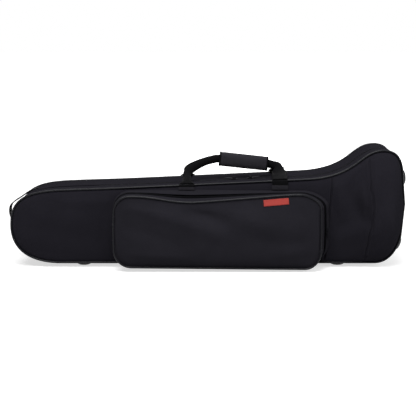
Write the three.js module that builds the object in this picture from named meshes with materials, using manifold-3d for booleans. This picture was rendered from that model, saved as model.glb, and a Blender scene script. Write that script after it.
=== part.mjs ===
// A soft-covered clamshell case for a trombone. The rear half holds the bell section; the front half holds
// the slide, carries the pocket, and zips to the rear half round the slide end, the top and the bell end. It
// opens on an uncut strip of gusset along the bottom. X runs along the case with the bell end at +X, the
// front faces -Y and Z is up. All lengths are in millimetres.

import * as THREE from 'three';
import { mergeVertices } from 'three/addons/utils/BufferGeometryUtils.js';
import Module from 'manifold-3d';

const wasm = await Module();
wasm.setup();

// Side outline: distances along the case from the slide end, or back from the bell end, and heights above the
// bottom edge
const bodyLength = 957;
const bellHeight = 274;
const slideTip = {
  height: 91, shoulderRun: 119, shoulderHeight: 176, rise: 67, settle: 89, drop: 68, sweep: 62,
};
const topRun = { back: 241, height: 204 };
const flare = { crownBack: 53, leave: 130, arrive: 58 };
const bellCorner = { height: 205, inset: 5, over: 34, down: 48 };
const bellHeel = { back: 71, over: 36, height: 66, inset: 7, up: 36, lean: 9 };
const bellTipHeight = 144;
const steps = { tip: 6, run: 4, flare: 7, corner: 5, end: 1 };

// Depth
const gussetDepth = 180;
const lidDepthShare = 0.4;
const slideBulge = 8;
const bellBulge = 43;
const flareSeamBack = 182;
const bellSeamBack = 77;
const tipFade = 40;
const crown = { acrossPower: 3, soften: 0.6, risePower: 2, endPower: 4 };
const faceShares = [0, 0.055, 0.18, 0.5, 0.82, 0.945, 1];

// Layers of each half, from the outside in
const coverThickness = 2;
const foamThickness = 15;
const liningThickness = 2;
const layerGap = 0.3;
const edgeChamfer = 4.2;
const pipingDiameter = 5;
const pipingSides = 6;

// Main zipper, seen across the gusset
const tape = { width: 7.4, sunk: 0.9, thickness: 1.1, coilWidth: 2.6, coilHeight: 1.3, flank: 0.4 };
const seat = 0.3;

// Feet
const foot = { radius: 20, height: 12, rim: 3.5, capRadius: 9, domeSteps: 3, sides: 14, sunk: 3 };
const footSetIn = 38;
const footPlaces = { slide: 173, bellBack: 157, endLow: 45, endHigh: 207 };

// Front pocket: its front panel's outline, and how far its root on the case spreads beyond that
const pocket = {
  start: 252, back: 205, height: 177, depth: 55, crown: 12, wall: 2.2, chamfer: 5.6, sideBow: 1,
  cornerLow: 42, cornerHigh: 40, sag: 19, droop: 4, sagFrom: 48, sagTo: 62, crownPower: 4,
};
const pocketRoot = { left: 2, right: 22, bottom: 7, top: 1, sag: 0, droop: 0 };
const pocketShares = { lowest: 0.38, riseRun: 0.2, rise: 0.3 };
const pocketSteps = { side: 1, corner: 3, run: 8 };
const quarterShare = 0.55;

// Carrying handle
const webbing = { width: 38, gripWidth: 17, thickness: 3 };
const anchorPlaces = { left: { back: 529, height: 9.5 }, right: { back: 303, height: 20 } };
const anchor = { proud: 8.4, barrel: 2.4, corner: 2.5 };
const grip = { back: 446, span: 116, height: 33, depth: 28, lift: 42, fall: 12.4, part: 0.3, sides: 8 };
const strapSteps = 32;

// The straps between anchor and grip: shares of the run along the case, of the way in over the gusset and of
// the climb, with the way the strap's width lies, along the case and up, and the share of its width kept.
const strapPathShares = {
  left: [
    { run: 0, over: 0.04, climb: 0, lie: [-1, 0], width: 1 },
    { run: 0, over: 0.16, climb: 0.13, lie: [-1, 0], width: 0.45 },
    { run: 0.01, over: 0.35, climb: 0.27, lie: [-1, 0.1], width: 0.42 },
    { run: 0.05, over: 0.63, climb: 0.44, lie: [-0.7, 0.7], width: 0.45 },
    { run: 0.18, over: 0.8, climb: 0.6, lie: [-0.55, 0.85], width: 0.45 },
    { run: 0.55, over: 0.97, climb: 0.86, lie: [-0.3, 0.96], width: 0.42 },
    { run: 0.78, over: 0.99, climb: 0.96, lie: [-0.1, 1], width: 0.42 },
  ],
  right: [
    { run: 0, over: 0.04, climb: 0, lie: [1, 0], width: 1 },
    { run: 0, over: 0.33, climb: 0.24, lie: [1, 0], width: 1 },
    { run: -0.06, over: 0.55, climb: 0.36, lie: [1, 0.1], width: 1 },
    { run: 0.07, over: 0.8, climb: 0.52, lie: [0.97, 0.22], width: 0.8 },
    { run: 0.19, over: 0.93, climb: 0.75, lie: [0.8, 0.6], width: 0.64 },
    { run: 0.54, over: 0.98, climb: 0.88, lie: [0.2, 0.98], width: 0.46 },
  ],
};

// Webbing loop on the slide end
const endLoop = { width: 38, thickness: 3, across: 36, bow: 21, low: 52, high: 157, tab: 16, steps: 22 };
const endLoopShares = { tabRun: 1.5, tabRise: 0.75, tabDrop: 0.8, crown: 0.9, shoulder: 0.5 };

// Inside
const bellCradle = { back: 165, span: 34, notch: 58, centre: 134 };
const neckCradle = { back: 537, span: 30, notch: 13, low: 48, high: 140 };
const binWall = { before: 88, thickness: 9 };
const mouthpieceBlock = { at: 120, span: 86, height: 44, depth: 46, socket: 13, spread: 42, lift: 60 };
const slideCradle = { outer: 190, apart: 370, span: 28, notch: 9, low: 48, high: 134, margin: 17, top: 30 };
const slideStrap = { width: 25, thickness: 2, lift: 3, bow: 9, tail: 12, steps: 14 };
const notchSteps = 8;
const socketSteps = 12;
const rimClear = 2.5;

// Zipper sliders and pull tabs
const slider = {
  span: 15, width: 9, thickness: 1.4, flange: 1.2, bridge: 9, bridgeHeight: 4.4, bridgeWidth: 2,
};
const bridgeHole = { span: 4.6, height: 2.3, lift: 0.9 };
const pull = { span: 24, width: 8, thickness: 1.4, bar: 1.2, window: 5.4, slot: 2.8 };
const sliderBack = { left: 412, right: 372 };
const pocketSliderHeight = 87;

// The patch of woven ribbon under the pocket's top piping
const patch = { span: 60, height: 15, thickness: 1, corner: 1, back: 110, drop: 6, tilt: 3.2 };

const overrun = 20;
const weld = 1e-4;

const neckAt = bodyLength - topRun.back;
const flareSeamAt = bodyLength - flareSeamBack;
const bellSeamAt = bodyLength - bellSeamBack;
const pocketSpan = bodyLength - pocket.start - pocket.back;
const gripStart = bodyLength - grip.back;
const neckCradleAt = bodyLength - neckCradle.back;
const patchAt = bodyLength - pocket.back - patch.back;
const zipPlane = -gussetDepth / 2 + lidDepthShare * gussetDepth;
const wallDepth = coverThickness + foamThickness + liningThickness + 2 * layerGap;
const point = (x, z) => new THREE.Vector2(x, z);
const place = (x, y, z) => new THREE.Vector3(x, y, z);

const nylon = { color: 0x201f24, roughness: 0.86 };
const pocketNylon = { color: 0x242429, roughness: 0.84 };
const foam = { color: 0x1a1a1b, roughness: 0.95 };
const plush = { color: 0x17181c, roughness: 1 };
const vinyl = { color: 0x2b2b2f, roughness: 0.38 };
const strapWeb = { color: 0x1c1d1c, roughness: 0.8 };
const padding = { color: 0x2e2e34, roughness: 0.88 };
const tapeWeb = { color: 0x16161a, roughness: 0.75 };
const rubber = { color: 0x2a2a2c, roughness: 0.55 };
const metal = { color: 0x1d1d20, roughness: 0.35, metalness: 0.8 };
const wovenRed = { color: 0xc83a30, roughness: 0.8 };

// Points along an outline: straight runs, and curved ones that leave and arrive along the given handles.
function trace(start, runs) {
  const points = [start];
  for (const { to, leave, arrive, count } of runs) {
    const from = points.at(-1);
    const curve = leave
      ? new THREE.CubicBezierCurve(from, from.clone().add(leave), to.clone().add(arrive), to)
      : new THREE.LineCurve(from, to);
    for (let step = 1; step <= count; step++) points.push(curve.getPoint(step / count));
  }
  return points;
}

// An outline is a pair of paths from its left tip to its right tip, along the bottom and along the top.
function bodyOutline() {
  const tip = point(0, slideTip.height);
  const end = point(bodyLength, bellTipHeight);
  const shoulder = point(slideTip.shoulderRun, slideTip.shoulderHeight);
  const neck = point(neckAt, topRun.height);
  const slope = (neck.y - shoulder.y) / (neck.x - shoulder.x);
  const top = trace(tip, [
    {
      to: shoulder, leave: point(0, slideTip.rise), arrive: point(-slideTip.settle, -slideTip.settle * slope),
      count: steps.tip,
    },
    { to: neck, count: steps.run },
    {
      to: point(bodyLength - flare.crownBack, bellHeight), leave: point(flare.leave, flare.leave * slope),
      arrive: point(-flare.arrive, 0), count: steps.flare,
    },
    {
      to: point(bodyLength - bellCorner.inset, bellCorner.height), leave: point(bellCorner.over, 0),
      arrive: point(0, bellCorner.down), count: steps.corner,
    },
    { to: end, count: steps.end },
  ]);
  const bottom = trace(tip, [
    {
      to: point(slideTip.shoulderRun, 0), leave: point(0, -slideTip.drop), arrive: point(-slideTip.sweep, 0),
      count: steps.tip,
    },
    { to: point(neckAt, 0), count: steps.run },
    { to: point(bodyLength - bellHeel.back, 0), count: steps.flare },
    {
      to: point(bodyLength - bellHeel.inset, bellHeel.height), leave: point(bellHeel.over, 0),
      arrive: point(-bellHeel.lean, -bellHeel.up), count: steps.corner,
    },
    { to: end, count: steps.end },
  ]);
  return { bottom, top };
}

// The pocket's outline at its front panel or at its root, with the same number of points in both.
function pocketOutline(spread) {
  const left = pocket.start - spread.left;
  const right = pocket.start + pocketSpan + spread.right;
  const low = spread.bottom;
  const high = pocket.height + spread.top;
  const middle = (low + high) / 2;
  const flat = pocket.cornerLow;
  const turn = pocket.cornerHigh;
  const flatPull = flat * quarterShare;
  const turnPull = turn * quarterShare;
  const tip = point(left - pocket.sideBow, middle);
  const end = point(right + pocket.sideBow, middle);
  const dip = point(THREE.MathUtils.lerp(left, right, pocketShares.lowest), high - spread.sag);
  const rise = point((right - left) * pocketShares.riseRun, spread.sag * pocketShares.rise);
  const { side, corner, run } = pocketSteps;
  const bottom = trace(tip, [
    { to: point(left, low + flat), count: side },
    { to: point(left + flat, low), leave: point(0, -flatPull), arrive: point(-flatPull, 0), count: corner },
    { to: point(right - flat, low - spread.droop), count: run },
    { to: point(right, low + flat), leave: point(flatPull, 0), arrive: point(0, -flatPull), count: corner },
    { to: end, count: side },
  ]);
  const top = trace(tip, [
    { to: point(left, high - turn), count: side },
    { to: point(left + turn, high), leave: point(0, turnPull), arrive: point(-turnPull, 0), count: corner },
    { to: dip, leave: point(pocket.sagTo, 0), arrive: point(-pocket.sagTo, 0), count: run / 2 },
    {
      to: point(right - pocket.sagTo, high), leave: rise, arrive: point(-pocket.sagFrom, 0), count: run / 2,
    },
    { to: point(right, high - turn), leave: point(turnPull, 0), arrive: point(0, turnPull), count: corner },
    { to: end, count: side },
  ]);
  return { bottom, top };
}

// All points of an outline, counter-clockwise as seen from the front.
function loopOf({ bottom, top }) {
  return [...bottom, ...top.slice(1, -1).reverse()];
}

// The outward direction at each point of a loop, so long that moving along it moves both sides by one unit.
function miters(loop) {
  return loop.map((here, i) => {
    const before = here.clone().sub(loop.at(i - 1)).normalize();
    const after = loop[(i + 1) % loop.length].clone().sub(here).normalize();
    const sum = point(before.y + after.y, -before.x - after.x);
    return sum.divideScalar(1 + before.dot(after));
  });
}

function inset(outline, distance) {
  const loop = loopOf(outline);
  const inner = miters(loop).map((out, i) => loop[i].clone().addScaledVector(out, -distance));
  const last = outline.bottom.length - 1;
  return { bottom: inner.slice(0, last + 1), top: [inner[0], ...inner.slice(last).reverse()] };
}

function between(one, other, share) {
  const blend = (a, b) => a.map((p, i) => p.clone().lerp(b[i], share));
  return { bottom: blend(one.bottom, other.bottom), top: blend(one.top, other.top) };
}

// A closed skin of rings round an outline and faces across it.
class Skin {
  constructor() {
    this.points = [];
    this.triangles = [];
  }

  add(x, y, z) {
    this.points.push(x, y, z);
    return this.points.length / 3 - 1;
  }

  ring(outline, y) {
    return loopOf(outline).map((p) => this.add(p.x, y, p.y));
  }

  band(from, to) {
    for (let i = 0; i < from.length; i++) {
      const next = (i + 1) % from.length;
      this.triangles.push(from[i], from[next], to[next], from[i], to[next], to[i]);
    }
  }

  // A face across a ring: depth gives its y at a point and at its share of the way from bottom to top.
  face(ring, outline, shares, depth, flip) {
    const last = outline.bottom.length - 1;
    const rows = shares.length - 1;
    const grid = outline.bottom.map((low, i) => shares.map((share, j) => {
      if (i === 0 || i === last || j === 0) return ring[i];
      if (j === rows) return ring[2 * last - i];
      const p = low.clone().lerp(outline.top[i], share);
      return this.add(p.x, depth(p, share), p.y);
    }));
    for (let i = 0; i < last; i++) {
      for (let j = 0; j < rows; j++) {
        const corners = [grid[i][j], grid[i + 1][j], grid[i + 1][j + 1], grid[i][j + 1]];
        for (const [a, b, c] of [[0, 1, 2], [0, 2, 3]].map((t) => t.map((k) => corners[k]))) {
          if (a !== b && b !== c && c !== a) this.triangles.push(...(flip ? [a, c, b] : [a, b, c]));
        }
      }
    }
  }

  geometry() {
    return finish(this.points, this.triangles);
  }
}

const flipped = (triangles) => triangles.map((_, i) => triangles[i + 2 - 2 * (i % 3)]);

// A geometry whose triangles face outwards, whichever way round they were listed.
function finish(points, triangles) {
  const corner = (i) => place(points[3 * i], points[3 * i + 1], points[3 * i + 2]);
  let volume = 0;
  for (let t = 0; t < triangles.length; t += 3) {
    const [a, b, c] = [0, 1, 2].map((k) => corner(triangles[t + k]));
    volume += a.dot(b.cross(c));
  }
  const geometry = new THREE.BufferGeometry();
  geometry.setAttribute('position', new THREE.Float32BufferAttribute(points, 3));
  geometry.setIndex(volume > 0 ? triangles : flipped(triangles));
  geometry.computeVertexNormals();
  return geometry;
}

function toSolid(geometry) {
  const bare = geometry.clone();
  bare.deleteAttribute('normal');
  bare.deleteAttribute('uv');
  const merged = mergeVertices(bare, weld);
  const mesh = new wasm.Mesh({
    numProp: 3,
    vertProperties: new Float32Array(merged.attributes.position.array),
    triVerts: new Uint32Array(merged.index.array),
  });
  return new wasm.Manifold(mesh);
}

function fromSolid(solid) {
  const mesh = solid.getMesh();
  return finish(Array.from(mesh.vertProperties), Array.from(mesh.triVerts));
}

const cut = (geometry, tool) => fromSolid(toSolid(geometry).subtract(tool));
const within = (geometry, room) => fromSolid(toSolid(geometry).intersect(room));

// The body's two halves. side is -1 for the front half and 1 for the rear half.
const body = bodyOutline();

// How far a face stands past the plane of its piping.
function bulge(p, share) {
  const round = Math.pow(1 - Math.pow(Math.abs(2 * share - 1), crown.acrossPower), crown.soften);
  const rise = THREE.MathUtils.clamp((p.x - flareSeamAt) / (bellSeamAt - flareSeamAt), 0, 1);
  const amount = slideBulge + (bellBulge - slideBulge) * Math.pow(rise, crown.risePower);
  const toTip = Math.sqrt(THREE.MathUtils.clamp(p.x / tipFade, 0, 1));
  const pastSeam = THREE.MathUtils.clamp((p.x - bellSeamAt) / (bodyLength - bellSeamAt), 0, 1);
  return amount * round * toTip * Math.sqrt(1 - Math.pow(pastSeam, crown.endPower));
}

// The rings of one layer of a half, from its rim at the zipper to the edge of its face.
function layerRings(skin, side, depth, rim, chamfered) {
  const edge = gussetDepth / 2;
  const slant = edgeChamfer + (Math.SQRT2 - 1) * depth;
  const wall = inset(body, depth);
  const rings = [skin.ring(wall, rim)];
  if (chamfered) rings.push(skin.ring(wall, side * (edge - slant)));
  const faceOutline = inset(body, chamfered ? slant : depth);
  rings.push(skin.ring(faceOutline, side * (edge - depth)));
  return { rings, faceOutline };
}

const faceDepth = (side, depth) => (p, share) => side * (gussetDepth / 2 - depth + bulge(p, share));

// One layer of a half: a cup, open at the zipper plane.
function layer(side, outer, inner, rimSetBack, chamferInside) {
  const skin = new Skin();
  const rim = zipPlane + side * rimSetBack;
  const out = layerRings(skin, side, outer.depth, rim, outer.chamfered);
  const back = layerRings(skin, side, inner.depth, rim, chamferInside);
  out.rings.slice(1).forEach((ring, i) => skin.band(out.rings[i], ring));
  skin.face(out.rings.at(-1), out.faceOutline, faceShares, faceDepth(side, outer.depth), false);
  skin.face(back.rings.at(-1), back.faceOutline, faceShares, faceDepth(side, inner.depth), true);
  const inward = [...back.rings].reverse();
  inward.slice(1).forEach((ring, i) => skin.band(inward[i], ring));
  skin.band(back.rings[0], out.rings[0]);
  return skin.geometry();
}

// Everything inside one surface of a half, from that surface to the zipper plane and past it by reach.
function filled(side, depth, chamfered, reach) {
  const skin = new Skin();
  const out = layerRings(skin, side, depth, zipPlane - side * reach, chamfered);
  skin.face(out.rings[0], inset(body, depth), [0, 1], () => 0, true);
  out.rings.slice(1).forEach((ring, i) => skin.band(out.rings[i], ring));
  skin.face(out.rings.at(-1), out.faceOutline, faceShares, faceDepth(side, depth), false);
  return toSolid(skin.geometry());
}

// A closed or open strip that follows part of a loop, with its section given as [outwards, y] pairs.
function alongLoop(loop, section, first, count, closed) {
  const outs = miters(loop);
  const points = [];
  const triangles = [];
  const sides = section.length;
  for (let k = 0; k < count; k++) {
    const i = (first + k) % loop.length;
    for (const [away, y] of section) {
      const p = loop[i].clone().addScaledVector(outs[i], away);
      points.push(p.x, y, p.y);
    }
  }
  const spans = closed ? count : count - 1;
  for (let k = 0; k < spans; k++) {
    const here = k * sides;
    const next = ((k + 1) % count) * sides;
    for (let s = 0; s < sides; s++) {
      const t = (s + 1) % sides;
      triangles.push(here + s, next + s, next + t, here + s, next + t, here + t);
    }
  }
  if (!closed) {
    const ends = THREE.ShapeUtils.triangulateShape(section.map(([a, b]) => point(a, b)), []);
    const last = (count - 1) * sides;
    for (const [a, b, c] of ends) triangles.push(a, b, c, last + a, last + c, last + b);
    return finish(points, agree(triangles, ends.length));
  }
  return finish(points, triangles);
}

// An open strip's end caps, last in the list, turned to agree with its sides.
function agree(triangles, caps) {
  const sides = triangles.slice(0, -6 * caps);
  const ends = triangles.slice(-6 * caps);
  const edges = new Set();
  for (let t = 0; t < sides.length; t += 3) {
    for (let k = 0; k < 3; k++) edges.add(`${sides[t + k]}>${sides[t + ((k + 1) % 3)]}`);
  }
  const clash = [0, 1, 2].some((k) => edges.has(`${ends[k]}>${ends[(k + 1) % 3]}`));
  return [...sides, ...(clash ? flipped(ends) : ends)];
}

// A strap along a smooth path. Each station has a place, the direction of the strap's width, and its width.
function ribbon(stations, thickness, count) {
  const path = new THREE.CatmullRomCurve3(stations.map((s) => s.at), false, 'centripetal');
  const turn = new THREE.CatmullRomCurve3(stations.map((s) => s.across), false, 'centripetal');
  const widths = stations.map((s) => s.width);
  const section = [[-1, -1], [1, -1], [1, 1], [-1, 1]];
  const points = [];
  const triangles = [0, 2, 1, 0, 3, 2];
  for (let k = 0; k <= count; k++) {
    const t = k / count;
    const along = path.getTangent(t);
    const across = turn.getPoint(t);
    across.addScaledVector(along, -across.dot(along)).normalize();
    const out = across.clone().cross(along);
    const spot = t * (widths.length - 1);
    const low = Math.min(Math.floor(spot), widths.length - 2);
    const width = THREE.MathUtils.lerp(widths[low], widths[low + 1], spot - low);
    for (const [a, b] of section) {
      const p = path.getPoint(t).addScaledVector(across, (a * width) / 2);
      p.addScaledVector(out, (b * thickness) / 2);
      points.push(p.x, p.y, p.z);
    }
    if (k === 0) continue;
    const here = 4 * (k - 1);
    for (let s = 0; s < 4; s++) {
      const n = (s + 1) % 4;
      triangles.push(here + s, here + n, here + 4 + n, here + s, here + 4 + n, here + 4 + s);
    }
  }
  const last = 4 * count;
  triangles.push(last, last + 1, last + 2, last, last + 2, last + 3);
  return finish(points, triangles);
}

// An outline drawn in two directions and drawn out along the third.
function slab(shape, thickness, curveSegments = 3) {
  return new THREE.ExtrudeGeometry(shape, { depth: thickness, bevelEnabled: false, curveSegments });
}

function roundedRect(width, height, radius) {
  const x = width / 2;
  const y = height / 2;
  const shape = new THREE.Shape();
  shape.moveTo(-x + radius, -y);
  shape.absarc(x - radius, -y + radius, radius, -Math.PI / 2, 0, false);
  shape.absarc(x - radius, y - radius, radius, 0, Math.PI / 2, false);
  shape.absarc(-x + radius, y - radius, radius, Math.PI / 2, Math.PI, false);
  shape.absarc(-x + radius, -y + radius, radius, Math.PI, 1.5 * Math.PI, false);
  return shape;
}

// The same shape on the other side of the gusset's middle.
function mirrored(geometry) {
  const points = Array.from(geometry.attributes.position.array);
  for (let i = 1; i < points.length; i += 3) points[i] = -points[i];
  return finish(points, Array.from(geometry.index.array));
}

// The straight top run: its direction, the direction out of it, and its height above the bottom edge.
const topSpan = place(neckAt - slideTip.shoulderRun, 0, topRun.height - slideTip.shoulderHeight);
const topAlong = topSpan.clone().normalize();
const topOut = place(-topAlong.z, 0, topAlong.x);

function topAt(x) {
  return slideTip.shoulderHeight + (topSpan.z * (x - slideTip.shoulderRun)) / topSpan.x;
}

// The place and outward direction of the bell end's edge at a height.
function bellEndAt(height) {
  const edge = loopOf(body).filter((p) => p.x > bellSeamAt);
  const above = edge.findIndex((p) => p.y > height);
  const [from, to] = [edge[above - 1], edge[above]];
  const out = point(to.y - from.y, from.x - to.x).normalize();
  return { at: from.clone().lerp(to, (height - from.y) / (to.y - from.y)), out };
}

const group = new THREE.Group();

function piece(name, geometry, look) {
  const mesh = new THREE.Mesh(geometry, new THREE.MeshStandardMaterial({ metalness: 0, ...look }));
  mesh.name = name;
  group.add(mesh);
  return mesh;
}

const rearSkin = filled(1, -seat, true, 0);
const frontSkin = filled(-1, -seat, true, 0);
const rearRoom = filled(1, wallDepth + layerGap, false, -rimClear);
const frontRoom = filled(-1, wallDepth + layerGap, false, -rimClear);

// A welt cord round an outline, in the plane of a face.
function piping(outline, plane) {
  const loop = loopOf(outline);
  const section = [];
  for (let side = 0; side < pipingSides; side++) {
    const angle = (side / pipingSides) * 2 * Math.PI;
    section.push([(Math.cos(angle) * pipingDiameter) / 2, plane + (Math.sin(angle) * pipingDiameter) / 2]);
  }
  return alongLoop(loop, section, 0, loop.length, true);
}

// The three layers of one half and the piping round its face.
function half(side, name, pipingName) {
  const foamDepth = coverThickness + layerGap;
  const liningDepth = foamDepth + foamThickness + layerGap;
  const opening = tape.width + 2 * layerGap;
  const cover = [{ depth: 0, chamfered: true }, { depth: coverThickness }];
  const shell = [{ depth: foamDepth, chamfered: true }, { depth: foamDepth + foamThickness }];
  const lining = [{ depth: liningDepth, chamfered: false }, { depth: wallDepth }];
  piece(`${name}_cover`, layer(side, ...cover, opening, true), nylon);
  piece(`${name}_shell`, layer(side, ...shell, layerGap, false), foam);
  piece(`${name}_lining`, layer(side, ...lining, layerGap, false), plush);
  piece(pipingName, piping(body, (side * gussetDepth) / 2), vinyl);
}

half(1, 'base', 'rear_piping');
half(-1, 'lid', 'front_piping');

// A zipper tape with its half of the coil along the edge that faces the other tape.
function tapeSection(side, plane) {
  const far = plane + side * (layerGap + tape.width);
  const near = plane + side * layerGap;
  const coil = near + side * tape.coilWidth;
  const top = -tape.sunk;
  return [
    [top - tape.thickness, near], [top - tape.thickness, far], [top, far],
    [top, coil + side * tape.flank], [top + tape.coilHeight, coil], [top + tape.coilHeight, near],
  ];
}

// The main zipper runs over the top, from where the outline has begun to rise at the bell to where it has at
// the slide end, so that its ends are clear of the line that the halves open on.
const bodyLoop = loopOf(body);
const hingeStart = steps.tip - 1;
const hingeEnd = steps.tip + steps.run + steps.flare + 1;
const zipCount = bodyLoop.length - (hingeEnd - hingeStart) + 1;
piece('base_zipper_tape', alongLoop(bodyLoop, tapeSection(1, zipPlane), hingeEnd, zipCount, false), tapeWeb);
piece('lid_zipper_tape', alongLoop(bodyLoop, tapeSection(-1, zipPlane), hingeEnd, zipCount, false), tapeWeb);

// The uncut strip of gusset that both halves open on. It ends just short of the tapes.
function hingeStrip(loop, plane, first, last) {
  const reach = layerGap + tape.width;
  const under = -tape.sunk - tape.thickness;
  const section = [[under, plane - reach], [0, plane - reach], [0, plane + reach], [under, plane + reach]];
  const strip = loop.map((p) => p.clone());
  strip[first].lerp(loop[first + 1], layerGap / loop[first].distanceTo(loop[first + 1]));
  strip[last].lerp(loop[last - 1], layerGap / loop[last].distanceTo(loop[last - 1]));
  return alongLoop(strip, section, first, last - first + 1, false);
}
piece('hinge_gusset', hingeStrip(bodyLoop, zipPlane, hingeStart, hingeEnd), nylon);

// Feet: low rubber domes with a flat cap.
function footShape() {
  const profile = [point(0, -foot.sunk), point(foot.radius, -foot.sunk), point(foot.radius, foot.rim)];
  for (let step = 1; step <= foot.domeSteps; step++) {
    const angle = ((step / foot.domeSteps) * Math.PI) / 2;
    const radius = foot.capRadius + (foot.radius - foot.capRadius) * Math.cos(angle);
    profile.push(point(radius, foot.rim + (foot.height - foot.rim) * Math.sin(angle)));
  }
  profile.push(point(0, foot.height));
  return new THREE.LatheGeometry(profile, foot.sides);
}

function footAt(x, y, z, outX, outZ) {
  const turn = new THREE.Matrix4().makeBasis(place(outZ, 0, -outX), place(outX, 0, outZ), place(0, -1, 0));
  return footShape().applyMatrix4(turn).translate(x, y, z);
}

for (const [side, name, skin] of [[1, 'base', rearSkin], [-1, 'lid', frontSkin]]) {
  const y = side * (gussetDepth / 2 - footSetIn);
  piece(`${name}_foot_slide`, cut(footAt(footPlaces.slide, y, 0, 0, -1), skin), rubber);
  piece(`${name}_foot_bell`, cut(footAt(bodyLength - footPlaces.bellBack, y, 0, 0, -1), skin), rubber);
  for (const [label, height] of [['low', footPlaces.endLow], ['high', footPlaces.endHigh]]) {
    const { at, out } = bellEndAt(height);
    piece(`${name}_end_foot_${label}`, cut(footAt(at.x, y, at.y, out.x, out.y), skin), rubber);
  }
}

// Pocket
const facePlane = -(gussetDepth / 2 + slideBulge);
const pocketFront = facePlane - pocket.depth;
const pocketSplit = facePlane - pocket.depth / 2;
const pocketFace = { left: 0, right: 0, bottom: 0, top: 0, sag: pocket.sag, droop: pocket.droop };
const frontOutline = pocketOutline(pocketFace);
const rootOutline = pocketOutline(pocketRoot);
const pocketAt = (y) => between(rootOutline, frontOutline, (y - facePlane) / (pocketFront - facePlane));

function pocketBulge(p, share) {
  const along = THREE.MathUtils.clamp((p.x - pocket.start) / pocketSpan, 0, 1);
  const round = (s) => 1 - Math.pow(Math.abs(2 * s - 1), pocket.crownPower);
  return pocket.crown * round(along) * round(share);
}

const pocketRing = (skin, y, depth) => skin.ring(inset(pocketAt(y), depth), y);

// An open band of the pocket's side wall between two depths.
function pocketBand(from, to) {
  const skin = new Skin();
  const { wall } = pocket;
  const rings = [[from, 0], [to, 0], [to, wall], [from, wall]].map(([y, depth]) => pocketRing(skin, y, depth));
  rings.forEach((ring, i) => skin.band(ring, rings[(i + 1) % rings.length]));
  return skin.geometry();
}

// The pocket's front panel, with its edge turned back to the strip behind it.
function pocketPanel() {
  const skin = new Skin();
  const { wall, chamfer } = pocket;
  const slant = chamfer + (Math.SQRT2 - 1) * wall;
  const edge = pocketFront + chamfer;
  const face = (depth) => (p, share) => pocketFront + depth - pocketBulge(p, share);
  const [outerEdge, outer, innerEdge, inner] = [
    [edge, 0], [pocketFront, chamfer], [edge, wall], [pocketFront + wall, slant],
  ].map(([y, depth]) => pocketRing(skin, y, depth));
  skin.band(outerEdge, outer);
  skin.face(outer, inset(frontOutline, chamfer), faceShares, face(0), false);
  skin.face(inner, inset(pocketAt(pocketFront + wall), slant), faceShares, face(wall), true);
  skin.band(inner, innerEdge);
  skin.band(innerEdge, outerEdge);
  return skin.geometry();
}

// The side wall is sewn from the gusset between the case and the pocket's zipper, cut to the case's face, and a
// narrow strip between the zipper and the front panel.
const tapeReach = layerGap + tape.width + layerGap;
const pocketWalls = {
  gusset: pocketBand(facePlane + overrun, pocketSplit + tapeReach),
  rim: pocketBand(pocketSplit - tapeReach, pocketFront + pocket.chamfer + layerGap),
};
piece('pocket_gusset', cut(pocketWalls.gusset, frontSkin), pocketNylon);
piece('pocket_rim', pocketWalls.rim, pocketNylon);
piece('pocket_panel', pocketPanel(), pocketNylon);

piece('pocket_piping', piping(frontOutline, pocketFront), vinyl);

const splitLoop = loopOf(pocketAt(pocketSplit));
const pocketHingeStart = pocketSteps.side + pocketSteps.corner - 1;
const pocketHingeEnd = pocketHingeStart + pocketSteps.run + 2;
const pocketZipCount = splitLoop.length - (pocketHingeEnd - pocketHingeStart) + 1;
for (const [name, side] of [['pocket_gusset_tape', 1], ['pocket_panel_tape', -1]]) {
  const section = tapeSection(side, pocketSplit);
  piece(name, alongLoop(splitLoop, section, pocketHingeEnd, pocketZipCount, false), tapeWeb);
}
piece('pocket_hinge', hingeStrip(splitLoop, pocketSplit, pocketHingeStart, pocketHingeEnd), pocketNylon);

// Label patch, laid on the panel under the piping.
function labelPatch() {
  const flat = slab(roundedRect(patch.span, patch.height, patch.corner), overrun);
  flat.rotateX(Math.PI / 2).rotateY(THREE.MathUtils.degToRad(-patch.tilt));
  const top = frontOutline.top.findLast((p) => p.x <= patchAt);
  flat.translate(patchAt, pocketFront + overrun / 2, top.y - patch.drop - patch.height / 2);
  const skin = new Skin();
  const depth = (lift) => (p, share) => pocketFront - lift - pocketBulge(p, share);
  const outline = inset(frontOutline, pocket.chamfer);
  const outer = skin.ring(outline, pocketFront - seat - patch.thickness);
  const inner = skin.ring(outline, pocketFront - seat);
  skin.band(inner, outer);
  skin.face(outer, outline, faceShares, depth(seat + patch.thickness), false);
  skin.face(inner, outline, faceShares, depth(seat), true);
  return within(flat, toSolid(skin.geometry()));
}
piece('label_patch', labelPatch(), wovenRed);

// Zipper sliders: a plate over the coil with one flange down to its own tape, and a bridge that holds the
// pull. X runs along the zipper, Y across it towards the tape that carries the slider, and Z outwards.
const coilTop = tape.coilHeight - tape.sunk;
const plateTop = coilTop + seat + slider.thickness;
const pullLift = plateTop + bridgeHole.lift + bridgeHole.height / 2;

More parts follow.
